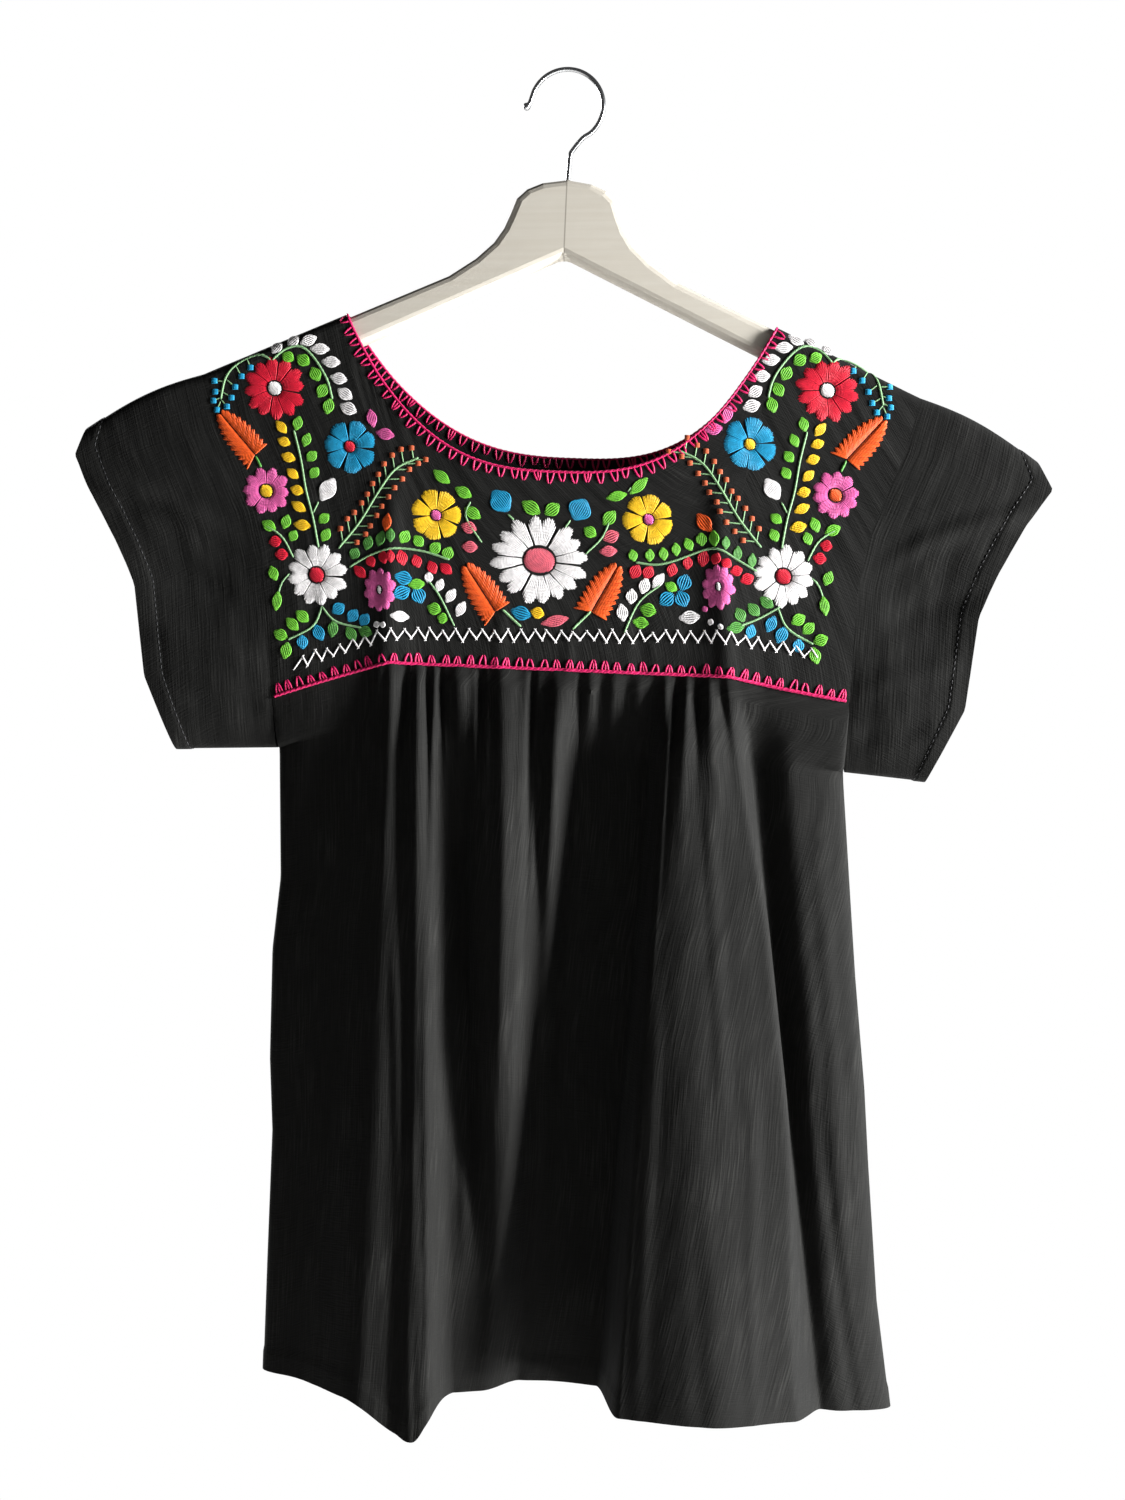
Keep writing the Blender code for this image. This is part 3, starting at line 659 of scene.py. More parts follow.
def thread_mesh(name, centre, normal, width, rise, material, dip=0.18):
    """Half-round threads laid on cloth. Each is a grid of two parameters, the way along its centre line and
    the angle over its back: across times the cosine and up times the sine, plus a lift that starts and ends
    inside the cloth."""
    count, along = centre.shape[:2]
    t = np.linspace(0.0, 1.0, along)
    angle = np.linspace(0.0, np.pi, THREAD_BACK)
    across = unit(np.cross(np.gradient(centre, axis=1), normal))
    taper = (0.62 + 0.38 * lens(2.0 * t - 1.0, 3.0))[None, :, None, None]
    half = (np.asarray(width) / 2.0).reshape(-1, 1, 1, 1) * taper
    lift = (np.asarray(rise).reshape(-1, 1) * (1.0 - np.abs(2.0 * t - 1.0) ** 3.5) - dip)[..., None, None]
    side = across[:, :, None] * np.cos(angle)[:, None] * half
    top = normal[:, :, None] * (np.sin(angle)[:, None] * half * 0.85 + lift)
    points = centre[:, :, None] + side + top
    one = grid_faces(along, THREAD_BACK)
    faces = (one[None] + (np.arange(count) * along * THREAD_BACK)[:, None, None]).reshape(-1, 4)
    length = lengths(centre, 1)
    around = np.broadcast_to(angle / np.pi, (count, along, THREAD_BACK)) * np.asarray(width).reshape(-1, 1, 1)
    uv = np.stack([around, np.broadcast_to(length[..., None], around.shape)], axis=-1)
    return make_piece(name, points.reshape(-1, 3), faces, material, uv=uv.reshape(-1, 2), smooth_angle=80.0)


def stitches(x0, z0, x1, z1, width, bow=0.0, rise=0.25):
    """Rows of one stitch each: where it starts and ends, its width, sideways bow and height."""
    return np.stack([part.ravel() for part in np.broadcast_arrays(x0, z0, x1, z1, width, bow, rise)], axis=1)


def sew(name, rows, panel, material, face=1.0):
    """Lays stitches on the yoke: each runs straight from its start to its end, moved sideways by its bow
    times the sine of the way along."""
    x0, z0, x1, z1, width, bow, rise = (part[:, None] for part in np.concatenate(rows).T)
    t = np.linspace(0.0, 1.0, STITCH_POINTS)
    run_x, run_z = x1 - x0, z1 - z0
    length = np.maximum(np.hypot(run_x, run_z), 1e-6)
    side = bow * np.sin(np.pi * t)
    x = x0 + run_x * t - run_z / length * side
    z = z0 + run_z * t + run_x / length * side
    centre, normal = on_yoke(x, z, np.zeros(x.shape), panel, face)
    return thread_mesh(name, centre, normal, width[:, 0], rise[:, 0], material)


# A petal's breadth, as a share of the room that the petals would have round the flower's rim.
PETAL_SHARE = 0.73


def flower_petals(draw, x, z, radius, inner, count, turn, squash=1.0, notch=0.2, width=0.95):
    """Rounded petals of satin stitches round a middle. The stitches of a petal start on a short arc at inner
    and end on a line square to the petal, a radius out, that falls back by notch times the place across to
    the power 2.2. Every other stitch starts a fifth of the way out."""
    step = 2.0 * np.pi / count
    half = PETAL_SHARE * radius * step / 2.0
    threads = int(math.ceil(2.0 * half / (0.84 * width))) + 1
    angle = turn + step * np.arange(count)[:, None] + draw.uniform(-0.05, 0.05, (count, 1))
    across = np.linspace(-1.0, 1.0, threads)
    reach = radius * draw.uniform(0.94, 1.04, (count, 1)) * (1.0 - notch * np.abs(across) ** 2.2)
    reach = reach * draw.uniform(0.98, 1.02, (count, threads))
    side = across * half * draw.uniform(0.93, 1.04, (count, 1))
    root = inner + 0.2 * (radius - inner) * (np.arange(threads) % 2)
    root_angle = angle + across * step * 0.36
    foot_x, foot_z = x + root * np.cos(root_angle) * squash, z + root * np.sin(root_angle)
    tip_x = x + (reach * np.cos(angle) - side * np.sin(angle)) * squash
    tip_z = z + reach * np.sin(angle) + side * np.cos(angle)
    return stitches(foot_x, foot_z, tip_x, tip_z, width, rise=0.35)


def filled_oval(x, z, half_x, half_z, turn, width=0.9, rise=0.45):
    """Satin stitches side by side in the direction turn, each a chord of the ellipse with these half axes:
    the chords' middles lie on its conjugate diameter."""
    run_x, run_z = math.cos(turn), math.sin(turn)
    span = math.hypot(half_x * run_z, half_z * run_x)
    count = max(3, int(round(2.0 * span / (width * 0.85))))
    offset = np.linspace(-1.0, 1.0, count) * (1.0 - 0.6 / count)
    reach = half_x * half_z / span * np.sqrt(1.0 - offset**2)
    middle_x = x - offset * half_x**2 * run_z / span
    middle_z = z + offset * half_z**2 * run_x / span
    half_run_x, half_run_z = run_x * reach, run_z * reach
    ends = middle_x - half_run_x, middle_z - half_run_z, middle_x + half_run_x, middle_z + half_run_z
    return stitches(*ends, width, rise=rise)


# Half the breadth of a leaf's ends, as a share of its whole breadth.
LEAF_END = 0.27


def leaves(draw, x, z, length, breadth, turn, threads=5, width=0.9):
    """Small leaves: stitches side by side from one end to the other, which bow apart in the middle to the
    leaf's breadth and get shorter towards its sides with the square of the place across."""
    x, z, length, breadth, turn = (np.atleast_1d(part)[:, None] for part in (x, z, length, breadth, turn))
    across = np.linspace(-1.0, 1.0, threads)
    length = length * draw.uniform(0.94, 1.06, length.shape)
    turn = turn + draw.uniform(-0.09, 0.09, turn.shape)
    run_x, run_z = np.cos(turn), np.sin(turn)
    foot = across * breadth * LEAF_END
    half = length / 2.0 - 0.17 * length * across**2
    x, z = x - run_z * foot, z + run_x * foot
    ends = x - run_x * half, z - run_z * half, x + run_x * half, z + run_z * half
    return stitches(*ends, width, bow=across * breadth * (0.5 - LEAF_END), rise=0.32)


def run_along(points):
    """Distance run along a line of points, from its first one."""
    return np.concatenate([[0.0], np.cumsum(np.linalg.norm(np.diff(points, axis=0), axis=1))])


def read_along(values, run, places):
    """A line's values at the given distances along it, read by straight lines between its points."""
    return np.stack([np.interp(places, run, part) for part in values.T], axis=-1)


def even_path(points, spacing):
    """The same line with points at even spacing."""
    run = run_along(points)
    places = np.linspace(0.0, run[-1], max(2, int(round(run[-1] / spacing)) + 1))
    return read_along(points, run, places)


def smooth_path(points, spacing):
    """Points at even spacing on a curve through the given ones: natural parameter, cubic blending of the
    neighbouring directions."""
    points = np.asarray(points, float)
    padded = np.concatenate([2 * points[:1] - points[1:2], points, 2 * points[-1:] - points[-2:-1]])
    t = np.linspace(0.0, 1.0, 16, endpoint=False)[:, None]
    parts = []
    for before, a, b, after in zip(padded, padded[1:], padded[2:], padded[3:]):
        square = 2 * before - 5 * a + 4 * b - after
        cube = 3 * a - 3 * b + after - before
        parts.append(0.5 * (2 * a + (b - before) * t + square * t**2 + cube * t**3))
    return even_path(np.concatenate(parts + [points[-1:]]), spacing)


def stem(points, width=1.0, pitch=2.6):
    """Stem stitch: short slanted stitches that overlap by half along a smooth path."""
    path = smooth_path(points, pitch)
    ahead = np.concatenate([path[2:], path[-1:]])
    start = path[:-1]
    side = unit(ahead - start)[:, ::-1] * np.array([-0.18, 0.18])
    start, end = start - side, ahead + side
    return stitches(start[:, 0], start[:, 1], end[:, 0], end[:, 1], width, rise=0.28)


def feather_leaf(x0, z0, x1, z1, breadth, width=0.95):
    """A leaf of fishbone stitches on both sides of a vein from (x0, z0) to (x1, z1). Each stitch slants
    forward to the edge; those below the vein's foot fan out backwards from it, so that the leaf ends in two
    lobes. Its half breadth falls from the lobes to the tip with the place to the power 2.6."""
    length = math.hypot(x1 - x0, z1 - z0)
    run = np.array([x1 - x0, z1 - z0]) / length
    rows = []
    for side, lobe in ((-1.0, 0.24), (1.0, 0.38)):
        place = np.linspace(-lobe, 0.95, int(round((0.95 + lobe) * length / (width * 0.8))))
        reach = breadth / 2.0 * (1.0 - 0.9 * np.clip(place, 0.0, 1.0) ** 2.6)
        reach = reach * (1.0 + 0.10 * np.cos(np.arange(len(place)) * np.pi / 2.5))
        root = np.clip(place, 0.0, 1.0) * length
        tip = np.minimum((place + 0.22 * (1.0 - 0.5 * place)) * length, 1.03 * length)
        foot_x, foot_z = x0 + run[0] * root - run[1] * side * 0.3, z0 + run[1] * root + run[0] * side * 0.3
        tip_x, tip_z = x0 + run[0] * tip - run[1] * side * reach, z0 + run[1] * tip + run[0] * side * reach
        rows.append(stitches(foot_x, foot_z, tip_x, tip_z, width, rise=0.38))
    return np.concatenate(rows)


# Where the motifs of the yoke lie, in level millimetres. Those on the wearer's right side are repeated on
# the left by mirrored(), with a small shift, as hand work repeats them.
Flower = namedtuple("Flower", "colour middle x z radius inner petals turn squash notch")
SIDE_FLOWERS = [
    Flower("red", "white", -156, -181, 17.2, 4.6, 12, 0.10, 1.0, 0.18),
    Flower("blue", "red", -114, -212, 14.6, 3.6, 7, 0.35, 1.0, 0.13),
    Flower("pink", "yellow", -160, -238, 13.0, 4.2, 10, 0.00, 1.0, 0.18),
    Flower("white", "red", -132, -283, 16.8, 5.0, 12, 0.20, 1.0, 0.16),
    Flower("pink", "white", -97, -290, 12.6, 2.6, 10, 0.25, 0.72, 0.20),
]
MIDDLE_FLOWERS = [
    Flower("yellow", "pink", -66.4, -248, 13.8, 3.4, 7, 0.10, 1.0, 0.12),
    Flower("yellow", "pink", 49.3, -246, 13.8, 3.4, 7, 0.55, 1.0, 0.12),
    Flower("white", "coral", -10, -270.5, 23.6, 8.4, 16, 0.12, 1.12, 0.16),
]
MIRRORED_CENTRES = {"yellow": "orange", "red": "yellow"}

# Leaves and petals: place of the middle, length, breadth and turn in degrees from the right-hand direction.
Leaf = namedtuple("Leaf", "colour x z length breadth turn")
SIDE_LEAVES = [
    # Along the upright stem between the red and the white flower
    Leaf("green", -143, -200, 8.2, 4.7, 75),
    Leaf("green", -138, -209, 8.2, 4.3, 65),
    Leaf("green", -135, -218, 7.6, 4.9, 50),
    Leaf("green", -133.5, -227, 7.6, 4.7, 55),
    Leaf("green", -128, -252, 7.0, 4.7, 40),
    Leaf("green", -127, -261, 7.6, 4.7, 60),
    Leaf("yellow", -152, -202.5, 8.8, 4.3, 130),
    Leaf("yellow", -150.5, -210.5, 7.6, 4.5, 155),
    Leaf("yellow", -148, -219, 8.2, 4.7, 165),
    Leaf("yellow", -145.5, -228, 8.2, 4.3, 140),
    Leaf("yellow", -143, -237, 7.6, 4.9, 165),
    Leaf("yellow", -142, -246, 8.8, 4.5, 150),
    Leaf("yellow", -140, -256, 9.4, 5.2, 170),
    # The small spray on the left of the white flower
    Leaf("green", -158.5, -257, 9.4, 5.2, 150),
    Leaf("green", -149, -254.5, 8.2, 4.7, 70),
    Leaf("green", -145, -262, 7.0, 4.5, 65),
    Leaf("red", -155, -265.5, 7.0, 5.4, 10),
    Leaf("red", -151.5, -272.5, 7.6, 5.6, 5),
    Leaf("green", -156, -283, 8.2, 4.7, 110),
    Leaf("green", -154, -298, 11.0, 4.4, 85),
    # Under the white flower
    Leaf("green", -140, -306, 8.8, 5.6, 145),
    Leaf("green", -145.5, -310.5, 8.8, 5.2, 135),
    Leaf("green", -152, -316.5, 8.8, 5.6, 160),
    Leaf("green", -149, -325, 9.4, 5.4, 75),
    Leaf("blue", -140, -320, 7.6, 5.4, 95),
    Leaf("blue", -131, -314.5, 9.9, 5.8, 120),
    # Around the shoulder vine
    Leaf("white", -155.5, -158.5, 8.2, 5.2, 55),
    Leaf("white", -146.5, -154.5, 8.2, 5.2, 40),
    Leaf("white", -138, -154.0, 9.4, 5.2, 25),
    Leaf("white", -131.5, -158.5, 10.5, 5.4, -5),
    Leaf("white", -125, -165.5, 10.5, 5.6, -5),
    Leaf("white", -120.5, -174.5, 9.4, 5.8, -8),
    Leaf("white", -117, -183, 9.4, 5.8, -30),
    Leaf("white", -115, -191, 9.9, 6.3, -20),
    Leaf("green", -149, -163.5, 7.6, 5.4, 150),
    Leaf("green", -140.5, -165, 8.2, 6.0, 140),
    Leaf("green", -133.5, -172.5, 8.2, 5.8, 120),
    Leaf("green", -129.5, -181.5, 8.8, 5.6, 60),
    Leaf("green", -126, -190, 8.8, 5.4, 75),
    # Sprigs beside the small flowers
    Leaf("pink", -102, -196, 11.0, 4.8, 105),
    Leaf("pink", -94.5, -204.5, 10.5, 5.6, -12),
    Leaf("white", -126, -236, 13.5, 8.4, 60),
]
# What only the left side has: the vine that runs towards the middle, its spray and the blue sprig.
LEFT_LEAVES = [
    Leaf("blue", -120, -301, 8.2, 5.8, 35),
    Leaf("blue", -112, -304.5, 8.2, 5.6, 55),
    Leaf("blue", -105.5, -306.5, 7.6, 5.2, 60),
    Leaf("leaf_green", -123, -312, 9.4, 4.9, 80),
    Leaf("leaf_green", -113, -314.5, 8.8, 5.2, 125),
    Leaf("leaf_green", -105, -313, 7.6, 5.6, 165),
    Leaf("leaf_green", -111, -270.5, 7.0, 5.2, 60),
    Leaf("leaf_green", -103.5, -264.5, 8.2, 4.7, 70),
    Leaf("leaf_green", -96.5, -262, 8.8, 4.5, 75),
    Leaf("leaf_green", -91, -260, 8.2, 4.0, 85),
    Leaf("green", -83.5, -260.5, 8.2, 5.4, 60),
    Leaf("green", -76, -262.5, 7.6, 5.2, 130),
    Leaf("green", -67, -266, 7.6, 5.4, 50),
    Leaf("green", -60, -268.5, 8.2, 5.6, 65),
    Leaf("red", -108, -280.5, 8.8, 4.7, 135),
    Leaf("red", -102, -274.5, 7.0, 4.5, 115),
    Leaf("red", -95, -272, 7.6, 4.3, 100),
    Leaf("red", -91, -271.5, 7.0, 3.8, 100),
    Leaf("red", -85, -272, 8.8, 5.4, 100),
    Leaf("red", -77, -273.5, 7.6, 4.9, 110),
    Leaf("red", -68.5, -276.5, 7.6, 4.9, 120),
    Leaf("red", -61, -277, 8.2, 4.9, 145),
    Leaf("orange", -93, -253, 10.0, 4.2, 78),
    Leaf("blue", -84, -283, 9.4, 6.9, 165),
    Leaf("blue", -85, -291, 10.5, 6.9, 25),
    Leaf("blue", -76, -292, 9.4, 7.2, 110),
    Leaf("green", -77, -286, 9.4, 5.2, 5),
    Leaf("white", -86, -304, 11.0, 5.2, -8),
    Leaf("white", -98.5, -309, 4.2, 2.7, 20),
    Leaf("white", -95, -309, 3.5, 2.2, 80),
]
# What only the right side has: the vine bends twice, and its spray has the blue leaves below.
RIGHT_LEAVES = [
    Leaf("green", 40.8, -265.8, 7.0, 4.2, 105),
    Leaf("green", 49.9, -265.4, 7.0, 4.2, 92),
    Leaf("green", 57.3, -264.3, 7.0, 4.2, 97),
    Leaf("green", 64.1, -261.6, 7.2, 4.0, 95),
    Leaf("green", 70.9, -258.7, 7.6, 4.4, 115),
    Leaf("green", 77.9, -255.7, 7.6, 5.2, 100),
    Leaf("green", 84.7, -255.1, 8.6, 4.6, 100),
    Leaf("leaf_green", 90.9, -257.3, 7.4, 3.6, 90),
    Leaf("leaf_green", 97.2, -262.8, 8.0, 4.0, 85),
    Leaf("leaf_green", 105.0, -266.3, 8.0, 3.8, 85),
    Leaf("red", 42.1, -274.5, 8.4, 5.8, 58),
    Leaf("red", 49.1, -274.7, 8.0, 5.4, 62),
    Leaf("red", 62.0, -272.8, 7.4, 5.0, 78),
    Leaf("red", 70.4, -268.7, 6.8, 4.6, 82),
    Leaf("red", 78.9, -266.0, 9.4, 5.6, 78),
    Leaf("red", 85.7, -266.0, 6.8, 4.4, 68),
    Leaf("red", 91.2, -268.3, 6.6, 4.8, 150),
    Leaf("red", 96.6, -272.1, 6.8, 5.0, 12),
    Leaf("red", 102.4, -276.2, 8.0, 5.4, 28),
    Leaf("orange", 79.4, -246.7, 11.5, 6.8, 128),
    Leaf("blue", 68.5, -279.3, 9.4, 7.2, 75),
    Leaf("blue", 67.4, -288.3, 9.6, 7.4, 110),
    Leaf("blue", 59.1, -288.7, 9.2, 7.2, 40),
    Leaf("green", 61.4, -282.0, 7.4, 4.6, 152),
    Leaf("white", 71.4, -298.1, 12.0, 6.4, 8),
    Leaf("white", 82.8, -300.3, 3.8, 2.4, 75),
    Leaf("white", 88.1, -302.7, 3.0, 2.4, 30),
    Leaf("pink", 79.8, -293.3, 3.2, 2.4, 40),
    Leaf("leaf_green", 98.6, -295.9, 8.0, 5.4, 122),
    Leaf("leaf_green", 105.9, -292.7, 8.4, 5.4, 130),
    Leaf("leaf_green", 112.9, -288.4, 8.4, 5.4, 140),
    Leaf("leaf_green", 96.2, -302.8, 9.6, 5.4, 15),
    Leaf("blue", 104.3, -304.5, 8.4, 4.8, 80),
    Leaf("blue", 115.3, -299.9, 9.6, 5.2, 68),
]
MIDDLE_LEAVES = [
    Leaf("green", -63.4, -227, 11.1, 5.2, 140),
    Leaf("green", -51.4, -235, 10.0, 5.4, 155),
    Leaf("green", -46.4, -246, 10.5, 5.6, 150),
    Leaf("coral", -48.4, -254, 9.4, 5.8, 165),
    Leaf("coral", -47.9, -264.5, 9.4, 5.6, 175),
    Leaf("blue", -31, -239, 14.0, 11.5, 125),
    Leaf("blue", 12, -242, 13.0, 12.0, 60),
    Leaf("green", -14.5, -242, 11.1, 6.7, 150),
    Leaf("green", -3, -242.5, 10.0, 6.4, 35),
    Leaf("green", 17.5, -254, 8.2, 5.6, 145),
    Leaf("green", 28, -246, 9.9, 6.0, 45),
    Leaf("coral", 29, -256, 9.9, 6.3, 20),
    Leaf("coral", 27.5, -264, 9.9, 5.2, 5),
    Leaf("green", 32, -234, 12.0, 4.6, 15),
    Leaf("green", 44, -228, 13.0, 4.8, 45),
    Leaf("white", -70.4, -282, 6.4, 4.0, 85),
    Leaf("white", -64.4, -286, 7.6, 4.0, 65),
    Leaf("white", -58.4, -291.5, 9.4, 4.5, 60),
    Leaf("white", -52.9, -298.5, 9.4, 4.5, 60),
    Leaf("green", -67.4, -299, 7.6, 6.0, 165),
    Leaf("green", -62.9, -304, 6.4, 5.2, 170),
    Leaf("white", 35, -297, 9.4, 5.4, 100),
    Leaf("white", 40, -288, 8.8, 5.4, 85),
    Leaf("white", 47, -282, 9.4, 5.2, 75),
    Leaf("white", 54.5, -279, 9.9, 4.7, 50),
    Leaf("green", 49, -295, 9.4, 6.7, 165),
    Leaf("green", 45, -302, 9.4, 5.6, 175),
    Leaf("blue", -20, -299.5, 11.0, 7.0, -15),
    Leaf("yellow", -11, -299, 7.6, 5.6, 170),
    Leaf("coral", -1.5, -303, 15.0, 5.2, 14),
]

# Stems: the points that each runs through.
Stem = namedtuple("Stem", "colour width points")
SIDE_STEMS = [
    Stem("stem_green", 1.1, [(-131, -268), (-134, -252), (-138, -237), (-141, -220), (-145, -204)]),
    Stem("stem_green", 0.9, [(-134, -249), (-131, -243)]),
    Stem("stem_green", 1.0, [(-145, -274), (-151, -263), (-160, -257)]),
    Stem("stem_green", 0.9, [(-147, -283), (-151, -287), (-153, -293)]),
    Stem("stem_green", 1.1, [(-129, -300), (-134, -311), (-148, -319)]),
    Stem(
        "stem_green",
        1.2,
        [(-158, -166), (-152, -160), (-143, -157), (-135, -163), (-127, -175), (-124, -186)],
    ),
    Stem("stem_green", 1.1, [(-158, -166), (-164, -162.5), (-175, -167), (-183, -175), (-186, -188)]),
    Stem("leaf_green", 1.3, [(-166, -219), (-163, -225)]),
]
MIDDLE_STEMS = [
    Stem("stem_green", 1.1, [(-129, -300), (-122, -308), (-107, -311)]),
    Stem("stem_green", 1.1, [(-114, -278), (-102, -271), (-89, -267), (-73, -268), (-59, -272)]),
    Stem("stem_green", 1.1, [(120.7, -290.2), (108.2, -297.6), (98.8, -301.7)]),
    Stem(
        "stem_green",
        1.1,
        [(108.2, -272.3), (96.7, -266), (84.1, -260.4), (63.2, -267.9), (52.8, -270.5), (42.3, -269.4)],
    ),
    Stem("stem_green", 1.0, [(-56.4, -308), (-64.4, -292), (-70.4, -284)]),
    Stem("stem_green", 1.0, [(36, -308), (44, -291), (56, -281)]),
    Stem("stem_green", 1.0, [(15, -266), (24, -257), (28, -248)]),
    Stem("stem_green", 0.9, [(-41.4, -262), (-50.4, -248), (-47.4, -240)]),
    Stem("stem_green", 1.0, [(-27, -246), (-24, -249)]),
    Stem("stem_green", 1.0, [(7, -248), (4, -252)]),
    Stem("stem_green", 1.3, [(8, -307), (18, -297)]),
    Stem("stem_green", 1.3, [(-20, -307), (-30, -298)]),
    Stem("stem_green", 0.8, [(38, -231), (40, -229)]),
]

# Feather leaves: from the foot of the vein to its tip, and the breadth.
Feather = namedtuple("Feather", "x0 z0 x1 z1 breadth")
SIDE_FEATHERS = [Feather(-166.5, -218, -186, -196, 16.0)]
MIDDLE_FEATHERS = [Feather(-34, -299, -50, -275, 17.0), Feather(18.5, -297, 32.5, -272, 17.0)]

# Blue knots at the shoulder's sprig, each with a short stalk from the stem.
Knot = namedtuple("Knot", "x z stem_x stem_z")
SHOULDER_KNOTS = [
    Knot(-189.5, -178, -184, -178),
    Knot(-189, -184, -185, -183),
    Knot(-190, -189, -186, -187),
    Knot(-188, -194, -186, -189),
    Knot(-182.5, -192, -186, -188),
    Knot(-180, -187, -185, -184),
    Knot(-178, -181, -183, -177),
    Knot(-174.5, -175, -178, -169),
    Knot(-169.5, -170, -172, -165),
]

# The fern: a stem with straight twigs on both sides, each ending in a small knot.
FERN = [(-120, -268), (-108, -253), (-97, -235), (-88, -223), (-76, -217)]
FERN_TWIGS = 11
FERN_TWIG = 7.8
# The rows of a knot's stitches, as shares of its half height.
KNOT_ROWS = (-0.72, -0.24, 0.24, 0.72)
# Leaves broader than this get more threads.
LARGE_LEAF = 7.5
# What mirrored() adds after it has turned a place over.
MIRROR_SHIFT = (-10.0, 9.0)

# A little of the shoulder sprigs carries on behind the shoulder fold.
BACK_SPRIG_STEMS = [
    Stem("stem_green", 1.1, [(-158, -163), (-166, -170), (-178, -174), (-186, -184)]),
    Stem("stem_green", 1.1, [(-158, -163), (-148, -164), (-138, -160), (-130, -164)]),
]
BACK_SPRIG_LEAVES = [
    Leaf("white", -150, -158.5, 8.2, 5.2, 60),
    Leaf("white", -141, -154.5, 8.2, 5.2, 70),
    Leaf("white", -132, -156, 8.8, 5.2, 50),
    Leaf("green", -150, -169, 7.6, 5.2, 120),
    Leaf("green", -141, -166.5, 7.6, 5.2, 110),
    Leaf("green", -164, -176, 7.6, 4.9, 100),
    Leaf("green", -175, -180, 7.6, 4.9, 110),
]


# Materials


def linear(hex_colour):
    """Scene-linear red, green and blue of an sRGB hex colour."""
    parts = np.array([int(hex_colour[place : place + 2], 16) for place in (1, 3, 5)]) / 255.0
    return tuple(np.where(parts <= 0.04045, parts / 12.92, ((parts + 0.055) / 1.055) ** 2.4).tolist())


def set_inputs(tree, node, inputs):
    """Fills a node's inputs: by a link where the value is another node's output, else with the value."""
    for name, value in inputs.items():
        if isinstance(value, bpy.types.NodeSocket):
            tree.links.new(value, node.inputs[name])
        else:
            node.inputs[name].default_value = value


def add_node(tree, kind, inputs=None, **settings):
    """Adds a node, sets its properties, and fills its inputs with values or with other nodes' outputs."""
    made = tree.nodes.new("ShaderNode" + kind)
    for name, value in settings.items():
        setattr(made, name, value)
    set_inputs(tree, made, inputs or {})
    return made


def new_material(name, colour):
    """An empty node material with its shader and output, and its viewport colour."""
    material = bpy.data.materials.get(name) or bpy.data.materials.new(name)
    material.use_nodes = True
    material.diffuse_color = (*colour, 1.0)
    tree = material.node_tree
    tree.nodes.clear()
    shader = add_node(tree, "BsdfPrincipled")
    add_node(tree, "OutputMaterial", {"Surface": shader.outputs["BSDF"]})
    return material, tree, shader


# How much paler the slubs are painted than the cloth: a painted sheen of a low light on them.
SLUB_SHEEN_PALER = 3.2
# Slubs are warp threads 0.5 mm apart with thick places some 26 mm long, and picks the weft threads with
# shorter ones; both are drawn at 0.9 mm to show. The third row is soft handling creases, some 16 mm by 60 mm;
# its noise gives the soft bumps and places the patches of painted sheen. Each row has the size across and
# down the cloth in millimetres, and the noise's detail.
COTTON_PATTERNS = (("slubs", 0.9, 26.0, 2.0), ("picks", 9.0, 0.9, 1.0), ("creases_and_sheen", 16.0, 60.0, 1.0))


def black_cotton(settings):
    """Piece-dyed cotton in plain weave with slubs along the warp. It is matt and nearly black face on; pale
    streaks down the cloth, where the slubs and the fuzz catch a low light, are painted into its colour in
    patches as painted sheen. Its UV map is in millimetres."""
    dark = tuple(settings.cloth_colour)
    material, tree, shader = new_material("black cotton, plain weave", dark)
    uv = add_node(tree, "TexCoord").outputs["UV"]
    patterns = {}
    for name, across, down, detail in COTTON_PATTERNS:
        place = add_node(tree, "Mapping", {"Vector": uv, "Scale": (1.0 / across, 1.0 / down, 1.0)})
        evenly = {"Vector": place.outputs["Vector"], "Scale": 1.0, "Detail": detail}
        patterns[name] = add_node(tree, "TexNoise", evenly).outputs["Fac"]
    tone = add_node(tree, "MapRange", {"Value": patterns["slubs"], "From Min": 0.46, "From Max": 0.74})
    # The slubs' pale streaks are painted sheen, laid in patches where the soft creases lie.
    sheen_patch_range = {"Value": patterns["creases_and_sheen"], "From Min": 0.42, "From Max": 0.7, "To Min": 0.25}
    patches = add_node(tree, "MapRange", sheen_patch_range)
    both = {0: tone.outputs["Result"], 1: patches.outputs["Result"]}
    streaks = add_node(tree, "Math", both, operation="MULTIPLY")
    # The painted sheen's colour: the cloth's colour, made paler.
    pale = tuple(part * SLUB_SHEEN_PALER for part in dark)
    mixed = {0: streaks.outputs["Value"], 6: (*dark, 1.0), 7: (*pale, 1.0)}
    colour = add_node(tree, "Mix", mixed, data_type="RGBA")
    threads = add_node(tree, "Math", {0: patterns["slubs"], 1: patterns["picks"]}, operation="ADD")
    weave = add_node(tree, "Bump", {"Height": threads.outputs["Value"], "Strength": 0.6, "Distance": 0.0004})
    creased = {"Height": patterns["creases_and_sheen"], "Strength": 0.35, "Distance": 0.004}
    bump = add_node(tree, "Bump", {**creased, "Normal": weave.outputs["Normal"]})
    finish = {
        "Base Color": colour.outputs[2],
        "Roughness": 0.8,
        "Specular IOR Level": 0.12,
        "Sheen Weight": settings.sheen,
        "Sheen Roughness": 0.45,
        "Sheen Tint": (0.75, 0.76, 0.8, 1.0),
        "Normal": bump.outputs["Normal"],
    }
    set_inputs(tree, shader, finish)
    return material


# Mercerised stranded cotton, by colour.
THREAD_COLOURS = {
    "magenta": "#D0185F",
    "red": "#CE1230",
    "white": "#EDEAEA",
    "blue": "#1690BC",
    "orange": "#E4581A",
    "green": "#6CBB34",
    "leaf_green": "#4D8F3C",
    "stem_green": "#7FA878",
    "yellow": "#F2C21F",
    "pink": "#D85E9F",
    "coral": "#DB6374",
    "rust": "#B4532F",
    "black": "#1C1C1F",
}


